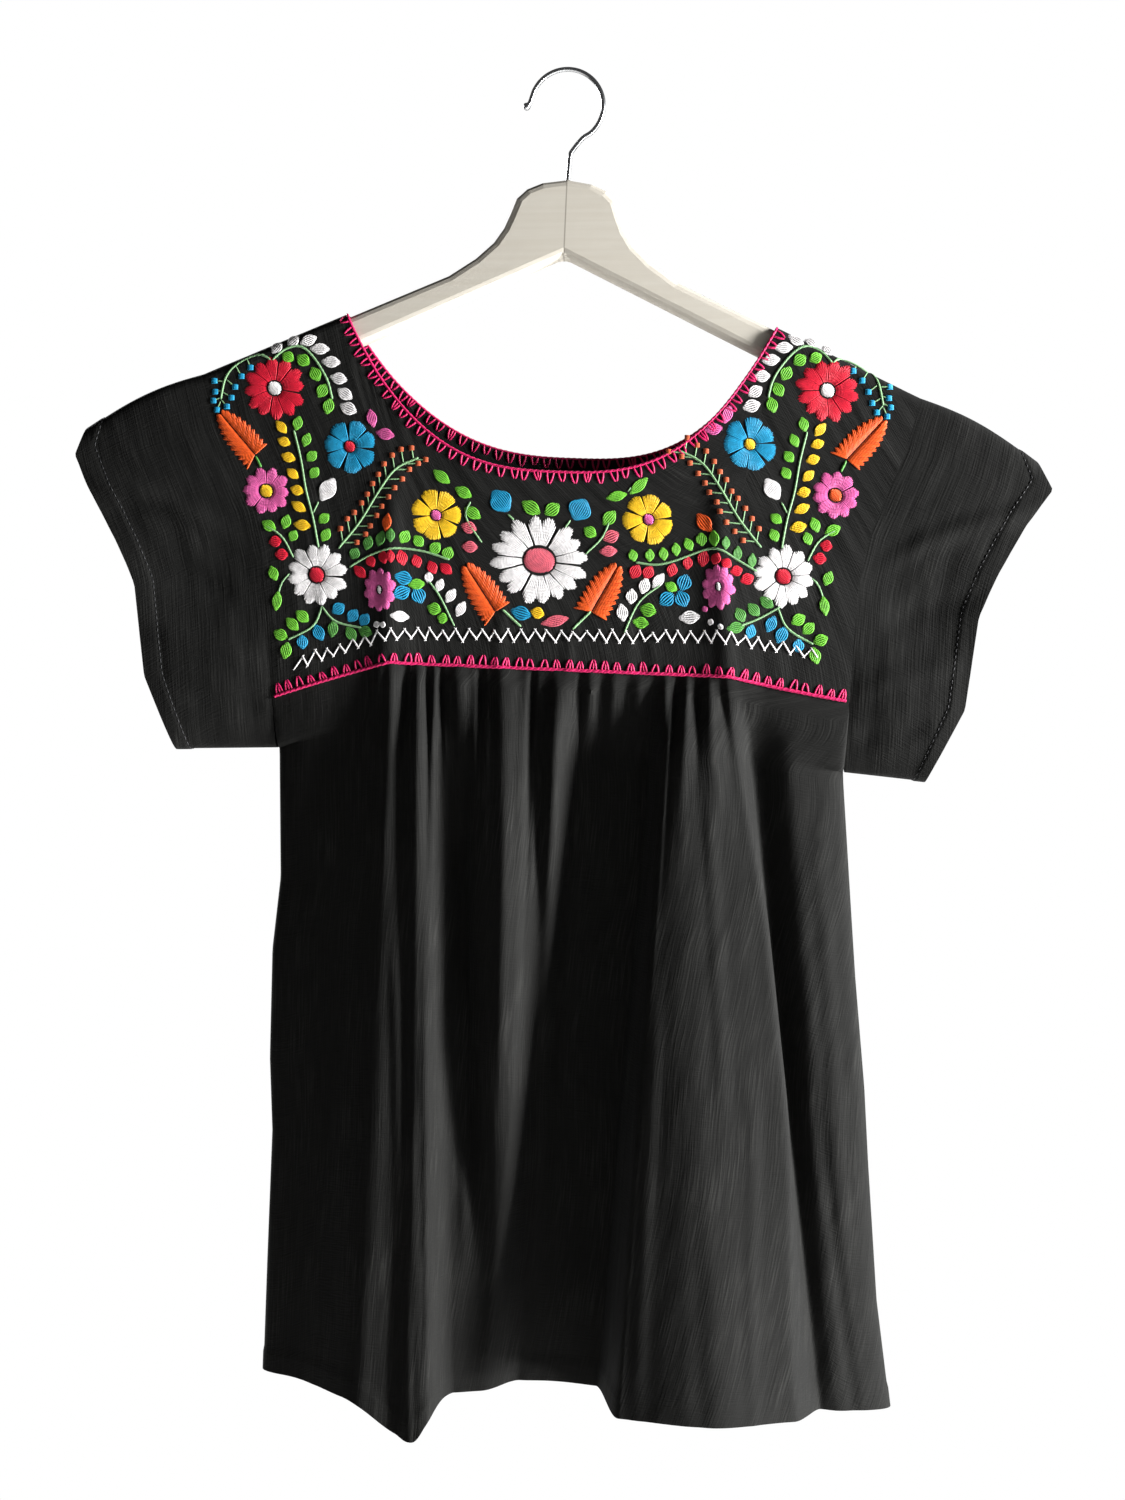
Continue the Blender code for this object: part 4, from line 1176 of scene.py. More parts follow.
def stranded_cotton(colour_name):
    """Mercerised stranded cotton, laid in satin stitches: dyed strong colours, with a soft gloss along each
    stitch and fine twisted strands, drawn at 0.9 mm instead of 0.4 mm to show."""
    colour = linear(THREAD_COLOURS[colour_name])
    material, tree, shader = new_material(f"stranded cotton, {colour_name.replace('_', ' ')}", colour)
    place = add_node(tree, "TexCoord")
    turning = {"Rotation": (0.0, 0.0, 0.6), "Scale": (1.0 / 0.9, 1.0 / 0.9, 1.0)}
    turned = add_node(tree, "Mapping", {"Vector": place.outputs["UV"], **turning})
    waves = {"Vector": turned.outputs["Vector"], "Scale": 0.314, "Distortion": 0.6}
    strands = add_node(tree, "TexWave", waves, wave_type="BANDS", bands_direction="X")
    patches = add_node(tree, "TexNoise", {"Vector": place.outputs["Object"], "Scale": 420.0})
    shade = add_node(tree, "MapRange", {"Value": patches.outputs["Fac"], "From Min": 0.3, "From Max": 0.7})
    deep = tuple(part * 0.72 for part in colour)
    mixed = {0: shade.outputs["Result"], 6: (*deep, 1.0), 7: (*colour, 1.0)}
    tone = add_node(tree, "Mix", mixed, data_type="RGBA")
    bump = add_node(tree, "Bump", {"Height": strands.outputs["Fac"], "Strength": 0.35, "Distance": 0.00015})
    finish = {
        "Base Color": tone.outputs[2],
        "Roughness": 0.5,
        "Specular IOR Level": 0.3,
        "Sheen Weight": 0.05,
        "Normal": bump.outputs["Normal"],
    }
    set_inputs(tree, shader, finish)
    return material


def limed_wood():
    """Limed softwood board, planed and sanded: a thin white wash that leaves faint grey grain along the arms
    and a dark hairline where the two halves are glued in the middle."""
    pale = linear("#C0BBB0")
    material, tree, shader = new_material("limed softwood, sanded", pale)
    place = add_node(tree, "TexCoord").outputs["Object"]
    # Grain lines some 3 mm wide and 90 mm long.
    run = add_node(tree, "Mapping", {"Vector": place, "Scale": (1.0 / 0.09, 1.0 / 0.003, 1.0 / 0.003)})
    grain = add_node(tree, "TexNoise", {"Vector": run.outputs["Vector"], "Detail": 3.0, "Scale": 1.0})
    tone = add_node(tree, "MapRange", {"Value": grain.outputs["Fac"], "From Min": 0.35, "From Max": 0.7})
    mixed = {0: tone.outputs["Result"], 6: (*pale, 1.0), 7: (*linear("#BBB5A9"), 1.0)}
    washed = add_node(tree, "Mix", mixed, data_type="RGBA")
    # The glue line leans with the hanger: it is where x equals the middle plus the tilt times z.
    leaning = {"Location": (MIDDLE_X * MM, 0.0, 0.0), "Rotation": (0.0, math.atan(TILT), 0.0)}
    line_place = add_node(tree, "Mapping", {"Vector": place, **leaning}, vector_type="TEXTURE")
    parts = add_node(tree, "SeparateXYZ", {"Vector": line_place.outputs["Vector"]})
    away = add_node(tree, "Math", {0: parts.outputs["X"]}, operation="ABSOLUTE")
    fading = {"From Min": 0.0002, "From Max": 0.0005, "To Min": 0.75, "To Max": 0.0}
    joint = add_node(tree, "MapRange", {"Value": away.outputs["Value"], **fading})
    mixed = {0: joint.outputs["Result"], 6: washed.outputs[2], 7: (*linear("#827C72"), 1.0)}
    colour = add_node(tree, "Mix", mixed, data_type="RGBA")
    bump = add_node(tree, "Bump", {"Height": grain.outputs["Fac"], "Strength": 0.2, "Distance": 0.0004})
    finish = {
        "Base Color": colour.outputs[2],
        "Roughness": 0.58,
        "Specular IOR Level": 0.35,
        "Normal": bump.outputs["Normal"],
    }
    set_inputs(tree, shader, finish)
    return material


def zinc_plated_wire():
    """Drawn steel wire with bright zinc plating: a smooth cool metal with a slightly soft reflection."""
    colour = linear("#C9CBCD")
    material, tree, shader = new_material("zinc-plated steel wire", colour)
    set_inputs(tree, shader, {"Base Color": (*colour, 1.0), "Metallic": 1.0, "Roughness": 0.24})
    return material


def painted_floor():
    """Matt white studio paint: an even floor without gloss."""
    colour = linear("#F1F0EE")
    material, tree, shader = new_material("matt white studio paint", colour)
    set_inputs(tree, shader, {"Base Color": (*colour, 1.0), "Roughness": 0.9})
    return material


# Settings a user would change


class BlouseClothSettings(bpy.types.PropertyGroup):
    """The cotton's walls, hems and colour"""

    wall: FloatProperty(
        name="Cloth thickness", description="Cotton's thickness", default=0.0007, unit="LENGTH", precision=5
    )
    hem_wall: FloatProperty(
        name="Hem thickness", description="Turned hems' thickness", default=0.0017, unit="LENGTH", precision=5
    )
    hem_depth: FloatProperty(
        name="Hem depth", description="Turned hems' height", default=0.010, unit="LENGTH", precision=4
    )
    cloth_colour: FloatVectorProperty(
        name="Cloth colour", description="Colour of the cotton", default=linear("#141413"), subtype="COLOR"
    )
    sheen: FloatProperty(
        name="Sheen", description="The cotton's fuzz", default=0.03, subtype="FACTOR", min=0.0, max=1.0
    )


class BlouseThreadSettings(bpy.types.PropertyGroup):
    """The edge stitches, the herringbone row and how uneven the hand work is"""

    tooth_pitch: FloatProperty(
        name="Tooth pitch", description="From stitch to stitch", default=0.0068, unit="LENGTH", precision=4
    )
    tooth_depth: FloatProperty(
        name="Tooth depth", description="An edge stitch's length", default=0.0058, unit="LENGTH", precision=4
    )
    cord_radius: FloatProperty(
        name="Cord radius", description="The edge cord's radius", default=0.0007, unit="LENGTH", precision=5
    )
    zigzag_pitch: FloatProperty(
        name="Zigzag pitch", description="Herringbone step", default=0.0071, unit="LENGTH", precision=4
    )
    zigzag_height: FloatProperty(
        name="Zigzag height", description="Herringbone's height", default=0.0052, unit="LENGTH", precision=4
    )
    seed: FloatProperty(
        name="Hand", description="Seed of the hand work's small irregularities", default=7.0, precision=0
    )


class BlouseStageSettings(bpy.types.PropertyGroup):
    """The camera, the floor and the light"""

    azimuth: FloatProperty(
        name="Camera azimuth", description="Turn to the side", default=math.radians(3.0), subtype="ANGLE"
    )
    distance: FloatProperty(
        name="Camera distance", description="From the camera to the blouse", default=1.05, unit="LENGTH"
    )
    floor_height: FloatProperty(
        name="Floor height", description="Height of the studio floor", default=-1.60, unit="LENGTH"
    )
    key_power: FloatProperty(
        name="Key light", description="Power of the light from the right", default=112.0, unit="POWER"
    )
    room_light: FloatProperty(
        name="Room light", description="Strength of the pale room", default=0.06, min=0.0
    )


# Cloth

YOKE_AREAS = {"yoke_front": 0.0585, "yoke_back": 0.0600}
SLEEVE_AREA = 0.0240
# Where a sleeve's hem starts, as a share of the way out.
SLEEVE_HEM_START = 0.86


def hem_thickness(share, start, settings):
    """Single cloth above the place where the hem starts and the turned hem's thickness below it."""
    return np.where(share > start, settings.hem_wall, settings.wall)[:, None] / MM


def declare_cloth(node, area):
    """Hides the solid that the cloth stands for; the area is not used."""
    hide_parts(node)


def hem_stitches(node, row, normals, side, wall, length=2.4, gap=1.0, closed=False):
    """A row of short straight stitches in the cloth's colour, along one row of its grid."""
    if closed:
        row = np.concatenate([row, row[:1]])
        normals = np.concatenate([normals, normals[:1]])
    run = run_along(row)
    places = np.arange(1.0, run[-1] - length, length + gap)[:, None] + np.linspace(0.0, length, 5)
    out = unit(read_along(normals, run, places)) * side
    centre = read_along(row, run, places) + out * wall / MM / 2.0
    made = thread_mesh(f"{node}_hem_stitches", centre, out, 0.65, 0.18, stranded_cotton("black"), dip=0.1)


class SewYoke(bpy.types.Operator):
    """Cuts the front and back yoke with their creases"""

    bl_idname = "blouse.sew_yoke"
    bl_label = "Yoke"

    def execute(self, context):
        settings = context.scene.blouse_cloth
        material = black_cotton(settings)
        for name, panel in (("yoke_front", FRONT), ("yoke_back", BACK)):
            grid = yoke_grid(panel)
            at_seam = np.zeros(grid.shape[:2], bool)
            at_seam[0] = np.abs(grid[0, :, 0]) > NECK_HALF_WIDTH - 1.0
            normals = squared(grid_normals(grid), at_seam)
            cloth = cloth_wall(f"{name}_cloth", grid, normals, settings.wall / MM, material)
            declare_cloth(name, YOKE_AREAS[name])
        return {"FINISHED"}


class SewBody(bpy.types.Operator):
    """Cuts the gathered front and back of the body, with turned and stitched hems"""

    bl_idname = "blouse.sew_body"
    bl_label = "Body"

    def execute(self, context):
        settings = context.scene.blouse_cloth
        material = black_cotton(settings)
        fall = refined(BODY_ROWS, BODY_FINER)
        hem_start = 1.0 - settings.hem_depth / MM / (YOKE_HEM_Z - HEM_Z)
        for name, panel in (("body_front", FRONT), ("body_back", BACK)):
            grid = body_grid(panel)
            at_seam = np.zeros(grid.shape[:2], bool)
            at_seam[:, [0, -1]] = grid[:, [0, -1], 2] < UNDERARM_Z
            normals = squared(grid_normals(grid), at_seam)
            thickness = hem_thickness(fall, hem_start, settings)
            cloth = cloth_wall(f"{name}_cloth", grid, normals, thickness, material)
            declare_cloth(name, None)
            row = int(np.argmin(np.abs(fall - hem_start)))
            # A grid's directions point to the front on both panels.
            hem_stitches(name, grid[row], normals[row], -panel.side, settings.wall)
        return {"FINISHED"}


class SewSleeves(bpy.types.Operator):
    """Cuts both short sleeves, each a tube closed under the arm with a turned hem"""

    bl_idname = "blouse.sew_sleeves"
    bl_label = "Sleeves"

    def execute(self, context):
        settings = context.scene.blouse_cloth
        material = black_cotton(settings)
        for name, side in (("sleeve_left", -1.0), ("sleeve_right", 1.0)):
            grid = sleeve_grid(side)
            normals = grid_normals(grid, closed=True)
            out = np.linspace(0.0, 1.0, grid.shape[0])
            thickness = hem_thickness(out, SLEEVE_HEM_START, settings)
            shape = {"closed": True, "warp_across": True}
            cloth = cloth_wall(f"{name}_cloth", grid, normals, thickness, material, **shape)
            declare_cloth(name, SLEEVE_AREA)
            row = int(np.argmin(np.abs(out - SLEEVE_HEM_START)))
            outward = np.sign(np.sum(normals[row] * (grid[row] - grid[row].mean(axis=0)), axis=1).mean())
            hem_stitches(name, grid[row], normals[row], outward, settings.wall, closed=True)
        return {"FINISHED"}


# Edges and embroidery

# How much thicker the cord along the seam is than the one round the neck.
SEAM_CORD = 1.25
# The cords' points lie this far apart, on lines first worked out at this many points.
CORD_STEP = 0.45
LINE_POINTS = 400
CORD_SIDES = 12


def tube_mesh(name, path, normal, size, angle, material, uv=None):
    """A tube round a path: at each of its points a ring of the given angles and radii, square to the path."""
    along = unit(np.gradient(path, axis=0))
    across = unit(np.cross(along, normal))
    up = np.cross(across, along)
    ring = across[:, None] * np.cos(angle)[:, None] + up[:, None] * np.sin(angle)[:, None]
    points = (path[:, None] + ring * size[..., None]).reshape(-1, 3)
    faces = grid_faces(len(path), len(angle), closed_across=True)
    return make_piece(name, points, faces[:, ::-1], material, uv=uv)


def rope_mesh(name, path, normal, radius, material, twist=3.2):
    """A two-strand cord along a path: a circle around it whose radius swells by a seventh on two opposite
    sides, and turns once in every two twists of length."""
    run = run_along(path)
    angle = np.linspace(0.0, 2.0 * np.pi, CORD_SIDES, endpoint=False)
    swell = 1.0 + 0.14 * np.cos(2.0 * angle[None] - 2.0 * np.pi * run[:, None] / twist)
    ends = np.clip(lens(2.0 * run / run[-1] - 1.0, 50.0), 0.05, 1.0)[:, None]
    around = np.broadcast_to(angle / (2.0 * np.pi) * 3.0, swell.shape)
    uv = np.stack([around, np.broadcast_to(run[:, None], swell.shape)], axis=-1).reshape(-1, 2)
    return tube_mesh(name, path, normal, radius * swell * ends, angle, material, uv)


def neck_line(panel):
    """The neck's edge from shoulder to shoulder, as even points."""
    x = NECK_HALF_WIDTH * np.sin(np.linspace(-0.5, 0.5, LINE_POINTS) * np.pi)
    return even_path(np.stack([x, neck_z(x, panel)], axis=1), CORD_STEP).T


def yoke_hem_line():
    """The line just above the seam between yoke and body, as even points."""
    x = np.linspace(-1.0, 1.0, LINE_POINTS) * (ARMHOLE[-2].x - 1.5)
    return even_path(np.stack([x, yoke_hem_z(x) + 0.6], axis=1), CORD_STEP).T


def blanket_stitches(draw, x, z, depth, inward, filled):
    """One group of stitches at each point of a line: two strands from the line meet at a point inside the
    cloth, and some groups have a third between them. inward is 1 where the cloth lies above the line and -1
    below it, and filled is the share of groups with a third strand."""
    along_x, along_z = np.gradient(x), np.gradient(z)
    size = np.hypot(along_x, along_z)
    along_x, along_z = along_x / size, along_z / size
    in_x, in_z = -along_z * inward, along_x * inward
    shift = draw.uniform(-0.7, 0.7, x.shape)
    x, z = x + along_x * shift, z + along_z * shift
    depth = depth * draw.uniform(0.84, 1.14, x.shape)
    lean = draw.uniform(-0.7, 0.9, x.shape)
    tip_x = x + in_x * depth + along_x * lean
    tip_z = z + in_z * depth + along_z * lean
    third = draw.uniform(0.0, 1.0, x.shape) < filled
    rows = []
    for foot, short, chosen in ((-1.8, 1.0, x == x), (1.8, 1.0, x == x), (0.2, 0.86, third)):
        start_x, start_z = x + along_x * foot, z + along_z * foot
        end_x = start_x + (tip_x + along_x * foot * 0.2 - start_x) * short
        end_z = start_z + (tip_z + along_z * foot * 0.2 - start_z) * short
        ends = (part[chosen] for part in (start_x, start_z, end_x, end_z))
        rows.append(stitches(*ends, 1.1, bow=-0.2 * foot * inward, rise=0.35))
    return rows


class SewEdges(bpy.types.Operator):
    """Works the corded edges with blanket stitches round the neck and along the yoke's lower edge"""

    bl_idname = "blouse.sew_edges"
    bl_label = "Blanket-stitched edges"

    def execute(self, context):
        settings = context.scene.blouse_thread
        draw = np.random.default_rng(int(settings.seed))
        material = stranded_cotton("magenta")
        stride = int(round(settings.tooth_pitch / MM / CORD_STEP))
        radius, depth = settings.cord_radius / MM, settings.tooth_depth / MM
        for name, panel in (("front", FRONT), ("back", BACK)):
            for place, line, inward, filled, thicker, wall in (
                ("neck", neck_line(panel), -1.0, 0.2, 1.0, 0.0),
                ("seam", yoke_hem_line(), 1.0, 0.65, SEAM_CORD, 0.5),
            ):
                path, normal = on_yoke(*line, np.full(line[0].shape, 0.15), panel, wall=wall)
                rope_mesh(f"{name}_{place}_cord", path, normal, radius * thicker, material)
                feet = line[:, stride // 2 :: stride]
                rows = blanket_stitches(draw, *feet, depth, inward, filled)
                sew(f"{name}_{place}_blanket_stitches", rows, panel, material)
                if place == "neck":
                    sew(f"{name}_{place}_blanket_stitches_inside", rows, panel, material, face=-1.0)
        return {"FINISHED"}


# The herringbone row: where it starts and ends, its height above the seam and its rise to the right.
ROW_START_X = -144.0
ROW_END_X = 141.0
ROW_ABOVE_SEAM = 19.0
ROW_SLOPE = 0.03
# How far each of its stitches runs past the crossing, as a share of its length.
ROW_CROSSING = 0.16


class SewHerringbone(bpy.types.Operator):
    """Works the white herringbone row above the front yoke's seam"""

    bl_idname = "blouse.sew_herringbone"
    bl_label = "Herringbone row"

    def execute(self, context):
        settings = context.scene.blouse_thread
        draw = np.random.default_rng(int(settings.seed) + 1)
        x = np.arange(ROW_START_X, ROW_END_X, settings.zigzag_pitch / MM / 2.0)
        x = x + draw.uniform(-0.8, 0.8, x.shape)
        middle = yoke_hem_z(x) + ROW_ABOVE_SEAM + ROW_SLOPE * x
        high = np.where(np.arange(len(x)) % 2 == 0, -0.5, 0.5)
        z = middle + high * settings.zigzag_height / MM * draw.uniform(0.75, 1.3, x.shape)
        past_x, past_z = ROW_CROSSING * np.diff(x), ROW_CROSSING * np.diff(z)
        ends = x[:-1] - past_x, z[:-1] - past_z, x[1:] + past_x, z[1:] + past_z
        rows = [stitches(*ends, 0.95, rise=np.where(high[:-1] < 0, 0.25, 0.5))]
        sew("front_herringbone", rows, FRONT, stranded_cotton("white"))
        return {"FINISHED"}


def mirrored(points):
    """The other side's places: turned over about a line a little to one side of the middle, and raised."""
    return np.asarray(points, float) * [-1.0, 1.0] + MIRROR_SHIFT


def worked_leaves(draw, table, place):
    """The stitches of a table's leaves by colour, at their own places or at the mirrored ones."""
    for colour in sorted({leaf.colour for leaf in table}):
        chosen = [leaf for leaf in table if leaf.colour == colour]
        x, z = place([(leaf.x, leaf.z) for leaf in chosen]).T
        turn = np.radians(column(chosen, "turn"))
        turn = np.pi - turn if place is mirrored else turn
        length, breadth = column(chosen, "length"), column(chosen, "breadth")
        large = breadth > LARGE_LEAF
        for pick, threads in ((large, 11), (~large, 6)):
            if pick.any():
                yield colour, leaves(draw, x[pick], z[pick], length[pick], breadth[pick], turn[pick], threads)


def worked_knots(x, z, size):
    """Small round knots: four short stitches above each other."""
    rows = [up * size for up in KNOT_ROWS]
    return [stitches(x - size, z + up, x + size, z + up * 0.8, 0.9, rise=0.5) for up in rows]


def gather_motifs(draw):
    """All the stitches of the front yoke, listed by colour."""
    rows = {name: [] for name in THREAD_COLOURS}

    def add_flower(flower, place, turn, middle):
        x, z = place([flower.x, flower.z])
        petals = flower.radius, flower.inner, flower.petals, turn, flower.squash, flower.notch
        rows[flower.colour].append(flower_petals(draw, x, z, *petals))
        half = flower.inner * 0.80
        rows[middle].append(filled_oval(x, z, half * flower.squash**2, half, math.radians(38.0)))

    for flower in SIDE_FLOWERS:
        add_flower(flower, np.asarray, flower.turn, flower.middle)
        other = MIRRORED_CENTRES.get(flower.middle, flower.middle)
        middle = other if flower.colour in ("blue", "pink") else flower.middle
        add_flower(flower, mirrored, flower.turn + 0.2, middle)
    for flower in MIDDLE_FLOWERS:
        add_flower(flower, np.asarray, flower.turn, flower.middle)
    for table, place in (
        (SIDE_LEAVES, np.asarray),
        (SIDE_LEAVES, mirrored),
        (LEFT_LEAVES + RIGHT_LEAVES + MIDDLE_LEAVES, np.asarray),
    ):
        for colour, made in worked_leaves(draw, table, place):
            rows[colour].append(made)
    for table, place in ((SIDE_STEMS, np.asarray), (SIDE_STEMS, mirrored), (MIDDLE_STEMS, np.asarray)):
        for item in table:
            rows[item.colour].append(stem(place(item.points), item.width))
    for table, place in (
        (SIDE_FEATHERS, np.asarray),
        (SIDE_FEATHERS, mirrored),
        (MIDDLE_FEATHERS, np.asarray),
    ):
        for item in table:
            ends = place([(item.x0, item.z0), (item.x1, item.z1)]).ravel()
            rows["orange"].append(feather_leaf(*ends, item.breadth))
    for place, sideways in ((np.asarray, 1.0), (mirrored, -1.0)):
        fern = place(FERN)
        knots = place([(knot.x, knot.z) for knot in SHOULDER_KNOTS]).T
        feet = place([(knot.stem_x, knot.stem_z) for knot in SHOULDER_KNOTS]).T
        rows["stem_green"] += [stem(fern, 1.2), stitches(*feet, *knots, 0.7, rise=0.2)]
        rows["blue"] += worked_knots(*knots, 1.7)
        path = smooth_path(fern, 1.0)
        foot = path[np.linspace(4, len(path) - 4, FERN_TWIGS).round().astype(int)]
        long = FERN_TWIG * draw.uniform(0.85, 1.12, FERN_TWIGS)
        for way in ((-0.18 * sideways, 1.0), (1.0 * sideways, 0.06)):
            end = foot + np.array(way) / math.hypot(*way) * long[:, None]
            rows["stem_green"].append(stitches(*foot.T, *end.T, 0.75, rise=0.22))
            rows["rust"] += worked_knots(*end.T, 1.5)
    return {colour: parts for colour, parts in rows.items() if parts}


class SewEmbroidery(bpy.types.Operator):
    """Embroiders the flowers, leaves, ferns and vines on the front yoke and over the shoulders"""

    bl_idname = "blouse.sew_embroidery"
    bl_label = "Embroidery"

    def execute(self, context):
        draw = np.random.default_rng(int(context.scene.blouse_thread.seed) + 2)
        for colour, parts in gather_motifs(draw).items():
            sew(f"embroidery_{colour}", parts, FRONT, stranded_cotton(colour))
        leaves_behind, stems_behind = {}, []
        for side in (1.0, -1.0):
            for item in BACK_SPRIG_STEMS:
                stems_behind.append(stem(np.array(item.points) * [side, 1.0], item.width))
            for leaf in BACK_SPRIG_LEAVES:
                turn = math.radians(leaf.turn if side > 0 else 180.0 - leaf.turn)
                made = leaves(draw, side * leaf.x, leaf.z, leaf.length, leaf.breadth, turn)
                leaves_behind.setdefault(leaf.colour, []).append(made)
        sew("shoulder_sprig_stems", stems_behind, BACK, stranded_cotton("stem_green"))
        for colour, parts in leaves_behind.items():
            sew(f"shoulder_sprig_{colour}", parts, BACK, stranded_cotton(colour))
        return {"FINISHED"}


# Hanger

# The ball at the wire's tip, and the radius to which the wire's ends close.
BALL_RADIUS = 2.1
CLOSED_END = 0.02
WIRE_SIDES = 20


def hook_route():
    """Up from the board, a short kink to the loop's lower right, round over the top, and out at the tip."""
    loop_x = -MIDDLE_X - TILT * LOOP_MIDDLE_Z
    turn = np.radians(np.linspace(LOOP_START_DEG, LOOP_END_DEG, 90))
    loop = np.stack([loop_x + LOOP_RADIUS * np.cos(turn), LOOP_MIDDLE_Z + LOOP_RADIUS * np.sin(turn)], axis=1)
    shank = np.array([(0.0, BLOCK_TOP_Z + 0.1), (0.3, -54.0), (0.8, -46.0), (2.4, -42.6)])
    tip = loop[-1] + np.array([(-0.9, -3.0), (-2.6, -5.2), (-4.4, -6.4)])
    route = smooth_path(np.concatenate([shank, loop[::6], loop[-1:], tip]), 0.8)
    return np.stack([route[:, 0], np.zeros(len(route)), route[:, 1]], axis=1)


class BendHook(bpy.types.Operator):
    """Bends the wire hook, with a small ball at its tip, and gives the hanger its limed wood"""

    bl_idname = "blouse.bend_hook"
    bl_label = "Hanger"

    def execute(self, context):
        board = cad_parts["hanger_wood"]
        board.data.materials.clear()
        board.data.materials.append(limed_wood())
        path = hook_route()
        run = run_along(path)
        left = run[-1] - run
        ball = BALL_RADIUS * np.sqrt(np.clip(1.0 - (left / BALL_RADIUS - 1.0) ** 2, 0.0, 1.0))
        size = np.maximum(np.where(left < 0.9, CLOSED_END, WIRE_RADIUS), ball)
        size[[0, -1]] = CLOSED_END
        inward = np.cross([0.0, 1.0, 0.0], np.gradient(path, axis=0))
        angle = np.linspace(0.0, 2.0 * np.pi, WIRE_SIDES, endpoint=False)
        wire = tube_mesh("hook_wire", path, inward, size[:, None], angle, zinc_plated_wire())
        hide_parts("hanger_hook")
        return {"FINISHED"}


# Stage

# The picture's height in the garment's plane: its rows of pixels, each this many millimetres.
PICTURE_ROWS = 1500
MM_PER_PIXEL = 0.55
SENSOR_HEIGHT = 36.0
FLOOR_HALF_SIZE = 2.0
PICTURE_MIDDLE = (-0.0025, 0.0, -0.373)

# Lamps: place and target, size, power as a share of the key light's, and colour.
Lamp = namedtuple("Lamp", "name place target size share colour")
LAMPS = [
    Lamp("key_light", (1.66, -0.38, -0.1), (0.0, 0.0, -0.40), (0.35, 0.5), 1.0, (1.0, 1.0, 1.0)),
    Lamp("side_light", (1.75, 0.45, -0.1), (0.0, 0.0, -0.40), (0.5, 1.2), 0.1, (0.92, 0.96, 1.0)),
    Lamp("low_light", (1.25, -0.35, -1.0), (0.08, 0.0, -0.7), (0.3, 0.3), 0.22, (1.0, 1.0, 1.0)),
    Lamp("back_light", (-1.3, 1.4, 0.3), (0.0, 0.0, -0.40), (0.9, 0.9), 0.5, (1.0, 1.0, 1.0)),
]


def put_in_scene(name, data, place, target):
    """Adds a lamp or the camera at a place and turns it to look at the target."""
    made = bpy.data.objects.new(name, data)
    bpy.context.scene.collection.objects.link(made)
    across, away, up = np.array(target) - np.array(place)
    made.location = place
    made.rotation_euler = (math.atan2(math.hypot(across, away), -up), 0.0, math.atan2(-across, away))
    return made


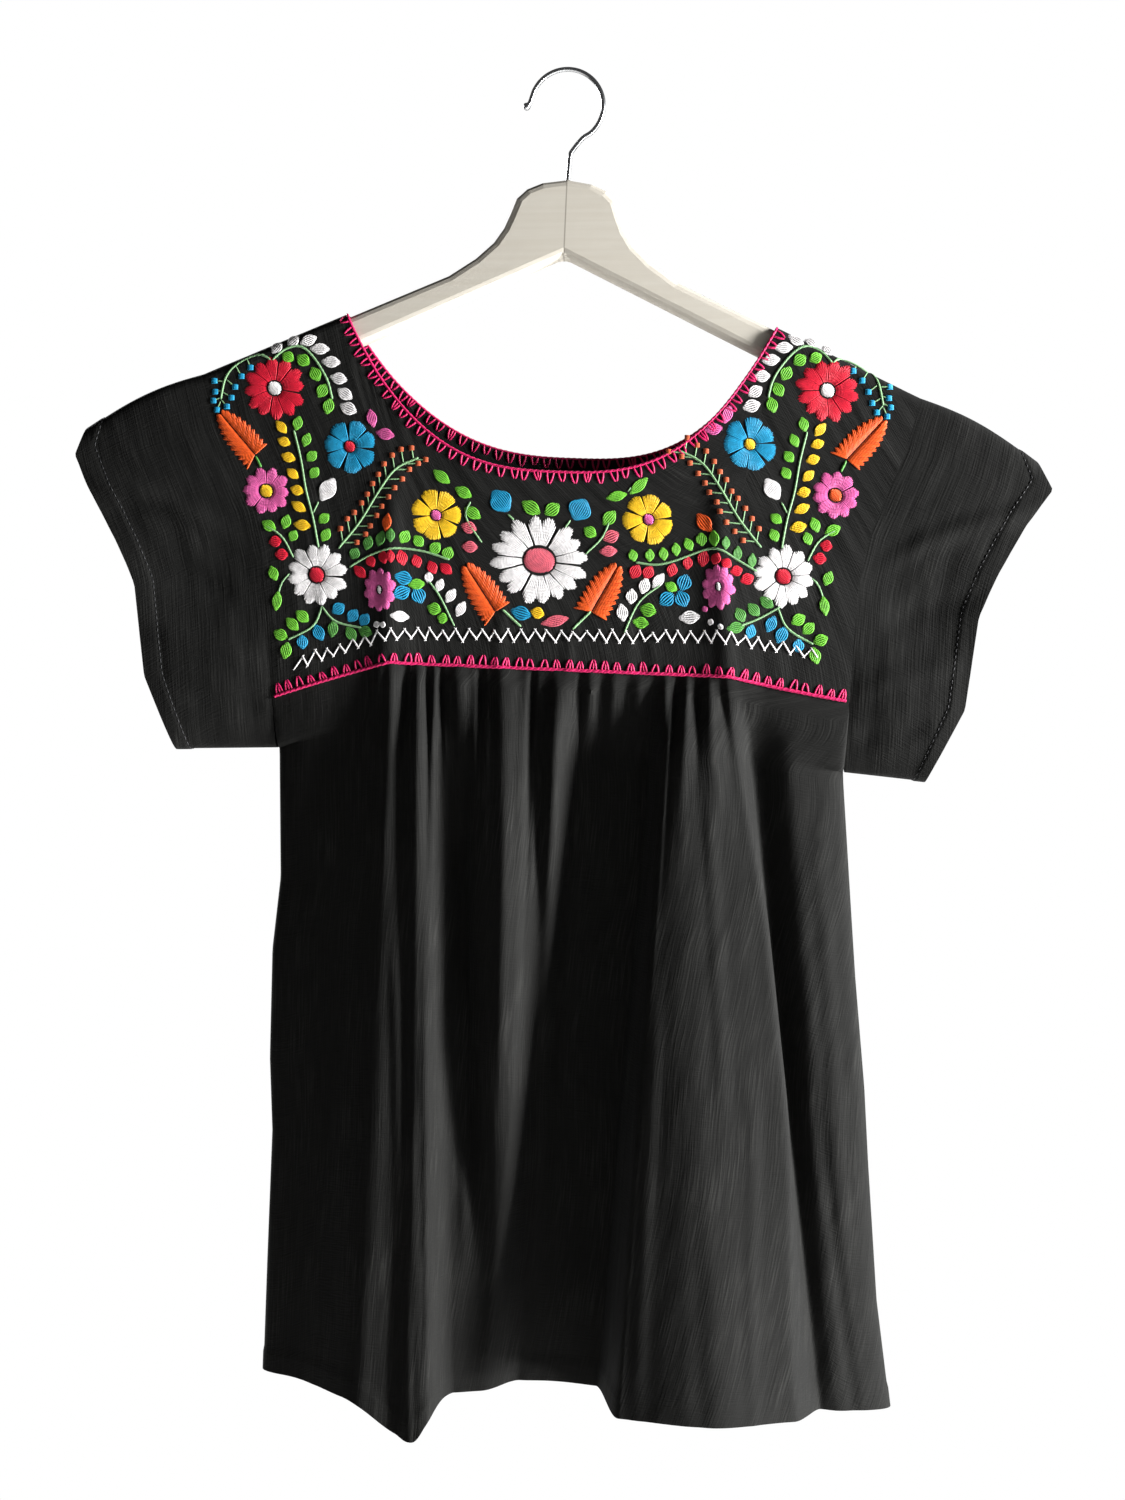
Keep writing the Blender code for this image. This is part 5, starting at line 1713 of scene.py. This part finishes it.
class SetStage(bpy.types.Operator):
    """Sets up the pale studio: floor, room light, lamps and the camera at the photograph's angle"""

    bl_idname = "blouse.set_stage"
    bl_label = "Studio"

    def execute(self, context):
        settings = context.scene.blouse_stage
        away = settings.distance * np.array([math.sin(settings.azimuth), -math.cos(settings.azimuth), 0.0])
        camera = bpy.data.cameras.new("camera")
        camera.sensor_fit = "VERTICAL"
        camera.sensor_height = SENSOR_HEIGHT
        camera.lens = SENSOR_HEIGHT * settings.distance / (PICTURE_ROWS * MM_PER_PIXEL * MM)
        context.scene.camera = put_in_scene("camera", camera, PICTURE_MIDDLE + away, PICTURE_MIDDLE)

        mesh = bpy.data.meshes.new("floor")
        corners = [(-1.0, -1.0), (1.0, -1.0), (1.0, 1.0), (-1.0, 1.0)]
        points = [(x * FLOOR_HALF_SIZE, y * FLOOR_HALF_SIZE, settings.floor_height) for x, y in corners]
        mesh.from_pydata(points, [], [(0, 1, 2, 3)])
        mesh.materials.append(painted_floor())
        floor = bpy.data.objects.new("floor", mesh)
        context.scene.collection.objects.link(floor)

        world = bpy.data.worlds.new("pale room")
        world.use_nodes = True
        tree = world.node_tree
        # The backdrop is white where it is seen, and lights the cloth more weakly.
        seen = add_node(tree, "LightPath").outputs["Is Camera Ray"]
        strength = add_node(tree, "MapRange", {"Value": seen, "To Min": settings.room_light})
        white = {"Color": (1.0, 1.0, 1.0, 1.0), "Strength": strength.outputs["Result"]}
        set_inputs(tree, tree.nodes["Background"], white)
        context.scene.world = world
        context.scene.view_settings.view_transform = "Standard"

        for lamp in LAMPS:
            light = bpy.data.lights.new(lamp.name, "AREA")
            light.shape = "RECTANGLE"
            light.size, light.size_y = lamp.size
            light.energy = settings.key_power * lamp.share
            light.color = lamp.colour
            put_in_scene(lamp.name, light, lamp.place, lamp.target)
        return {"FINISHED"}


class BLOUSE_PT_panel(bpy.types.Panel):
    """The blouse's pieces and settings in the 3D view's sidebar"""

    bl_label = "Embroidered blouse"
    bl_space_type = "VIEW_3D"
    bl_region_type = "UI"
    bl_category = "Blouse"

    def draw(self, context):
        for name in SETTINGS:
            group = getattr(context.scene, name)
            box = self.layout.box()
            box.label(text=name.replace("blouse_", "").title())
            for setting in group.bl_rna.properties.keys():
                if setting not in ("rna_type", "name"):
                    box.prop(group, setting)
        for operator in OPERATORS:
            self.layout.operator(operator.bl_idname)


SETTINGS = {
    "blouse_cloth": BlouseClothSettings,
    "blouse_thread": BlouseThreadSettings,
    "blouse_stage": BlouseStageSettings,
}
OPERATORS = (SetStage, SewYoke, SewBody, SewSleeves, SewEdges, SewHerringbone, SewEmbroidery, BendHook)
CLASSES = (*SETTINGS.values(), *OPERATORS, BLOUSE_PT_panel)


def register():
    """Adds the settings, the operators and the panel to Blender."""
    for made in CLASSES:
        bpy.utils.register_class(made)
    for name, group in SETTINGS.items():
        setattr(bpy.types.Scene, name, PointerProperty(type=group))


def unregister():
    """Takes them away again, the last ones first."""
    for name in SETTINGS:
        delattr(bpy.types.Scene, name)
    for made in reversed(CLASSES):
        bpy.utils.unregister_class(made)


def main():
    """Builds the whole blouse in order."""
    register()
    bpy.ops.blouse.set_stage()
    bpy.ops.blouse.sew_yoke()
    bpy.ops.blouse.sew_body()
    bpy.ops.blouse.sew_sleeves()
    bpy.ops.blouse.sew_edges()
    bpy.ops.blouse.sew_herringbone()
    bpy.ops.blouse.sew_embroidery()
    bpy.ops.blouse.bend_hook()


if __name__ == "__main__":
    main()
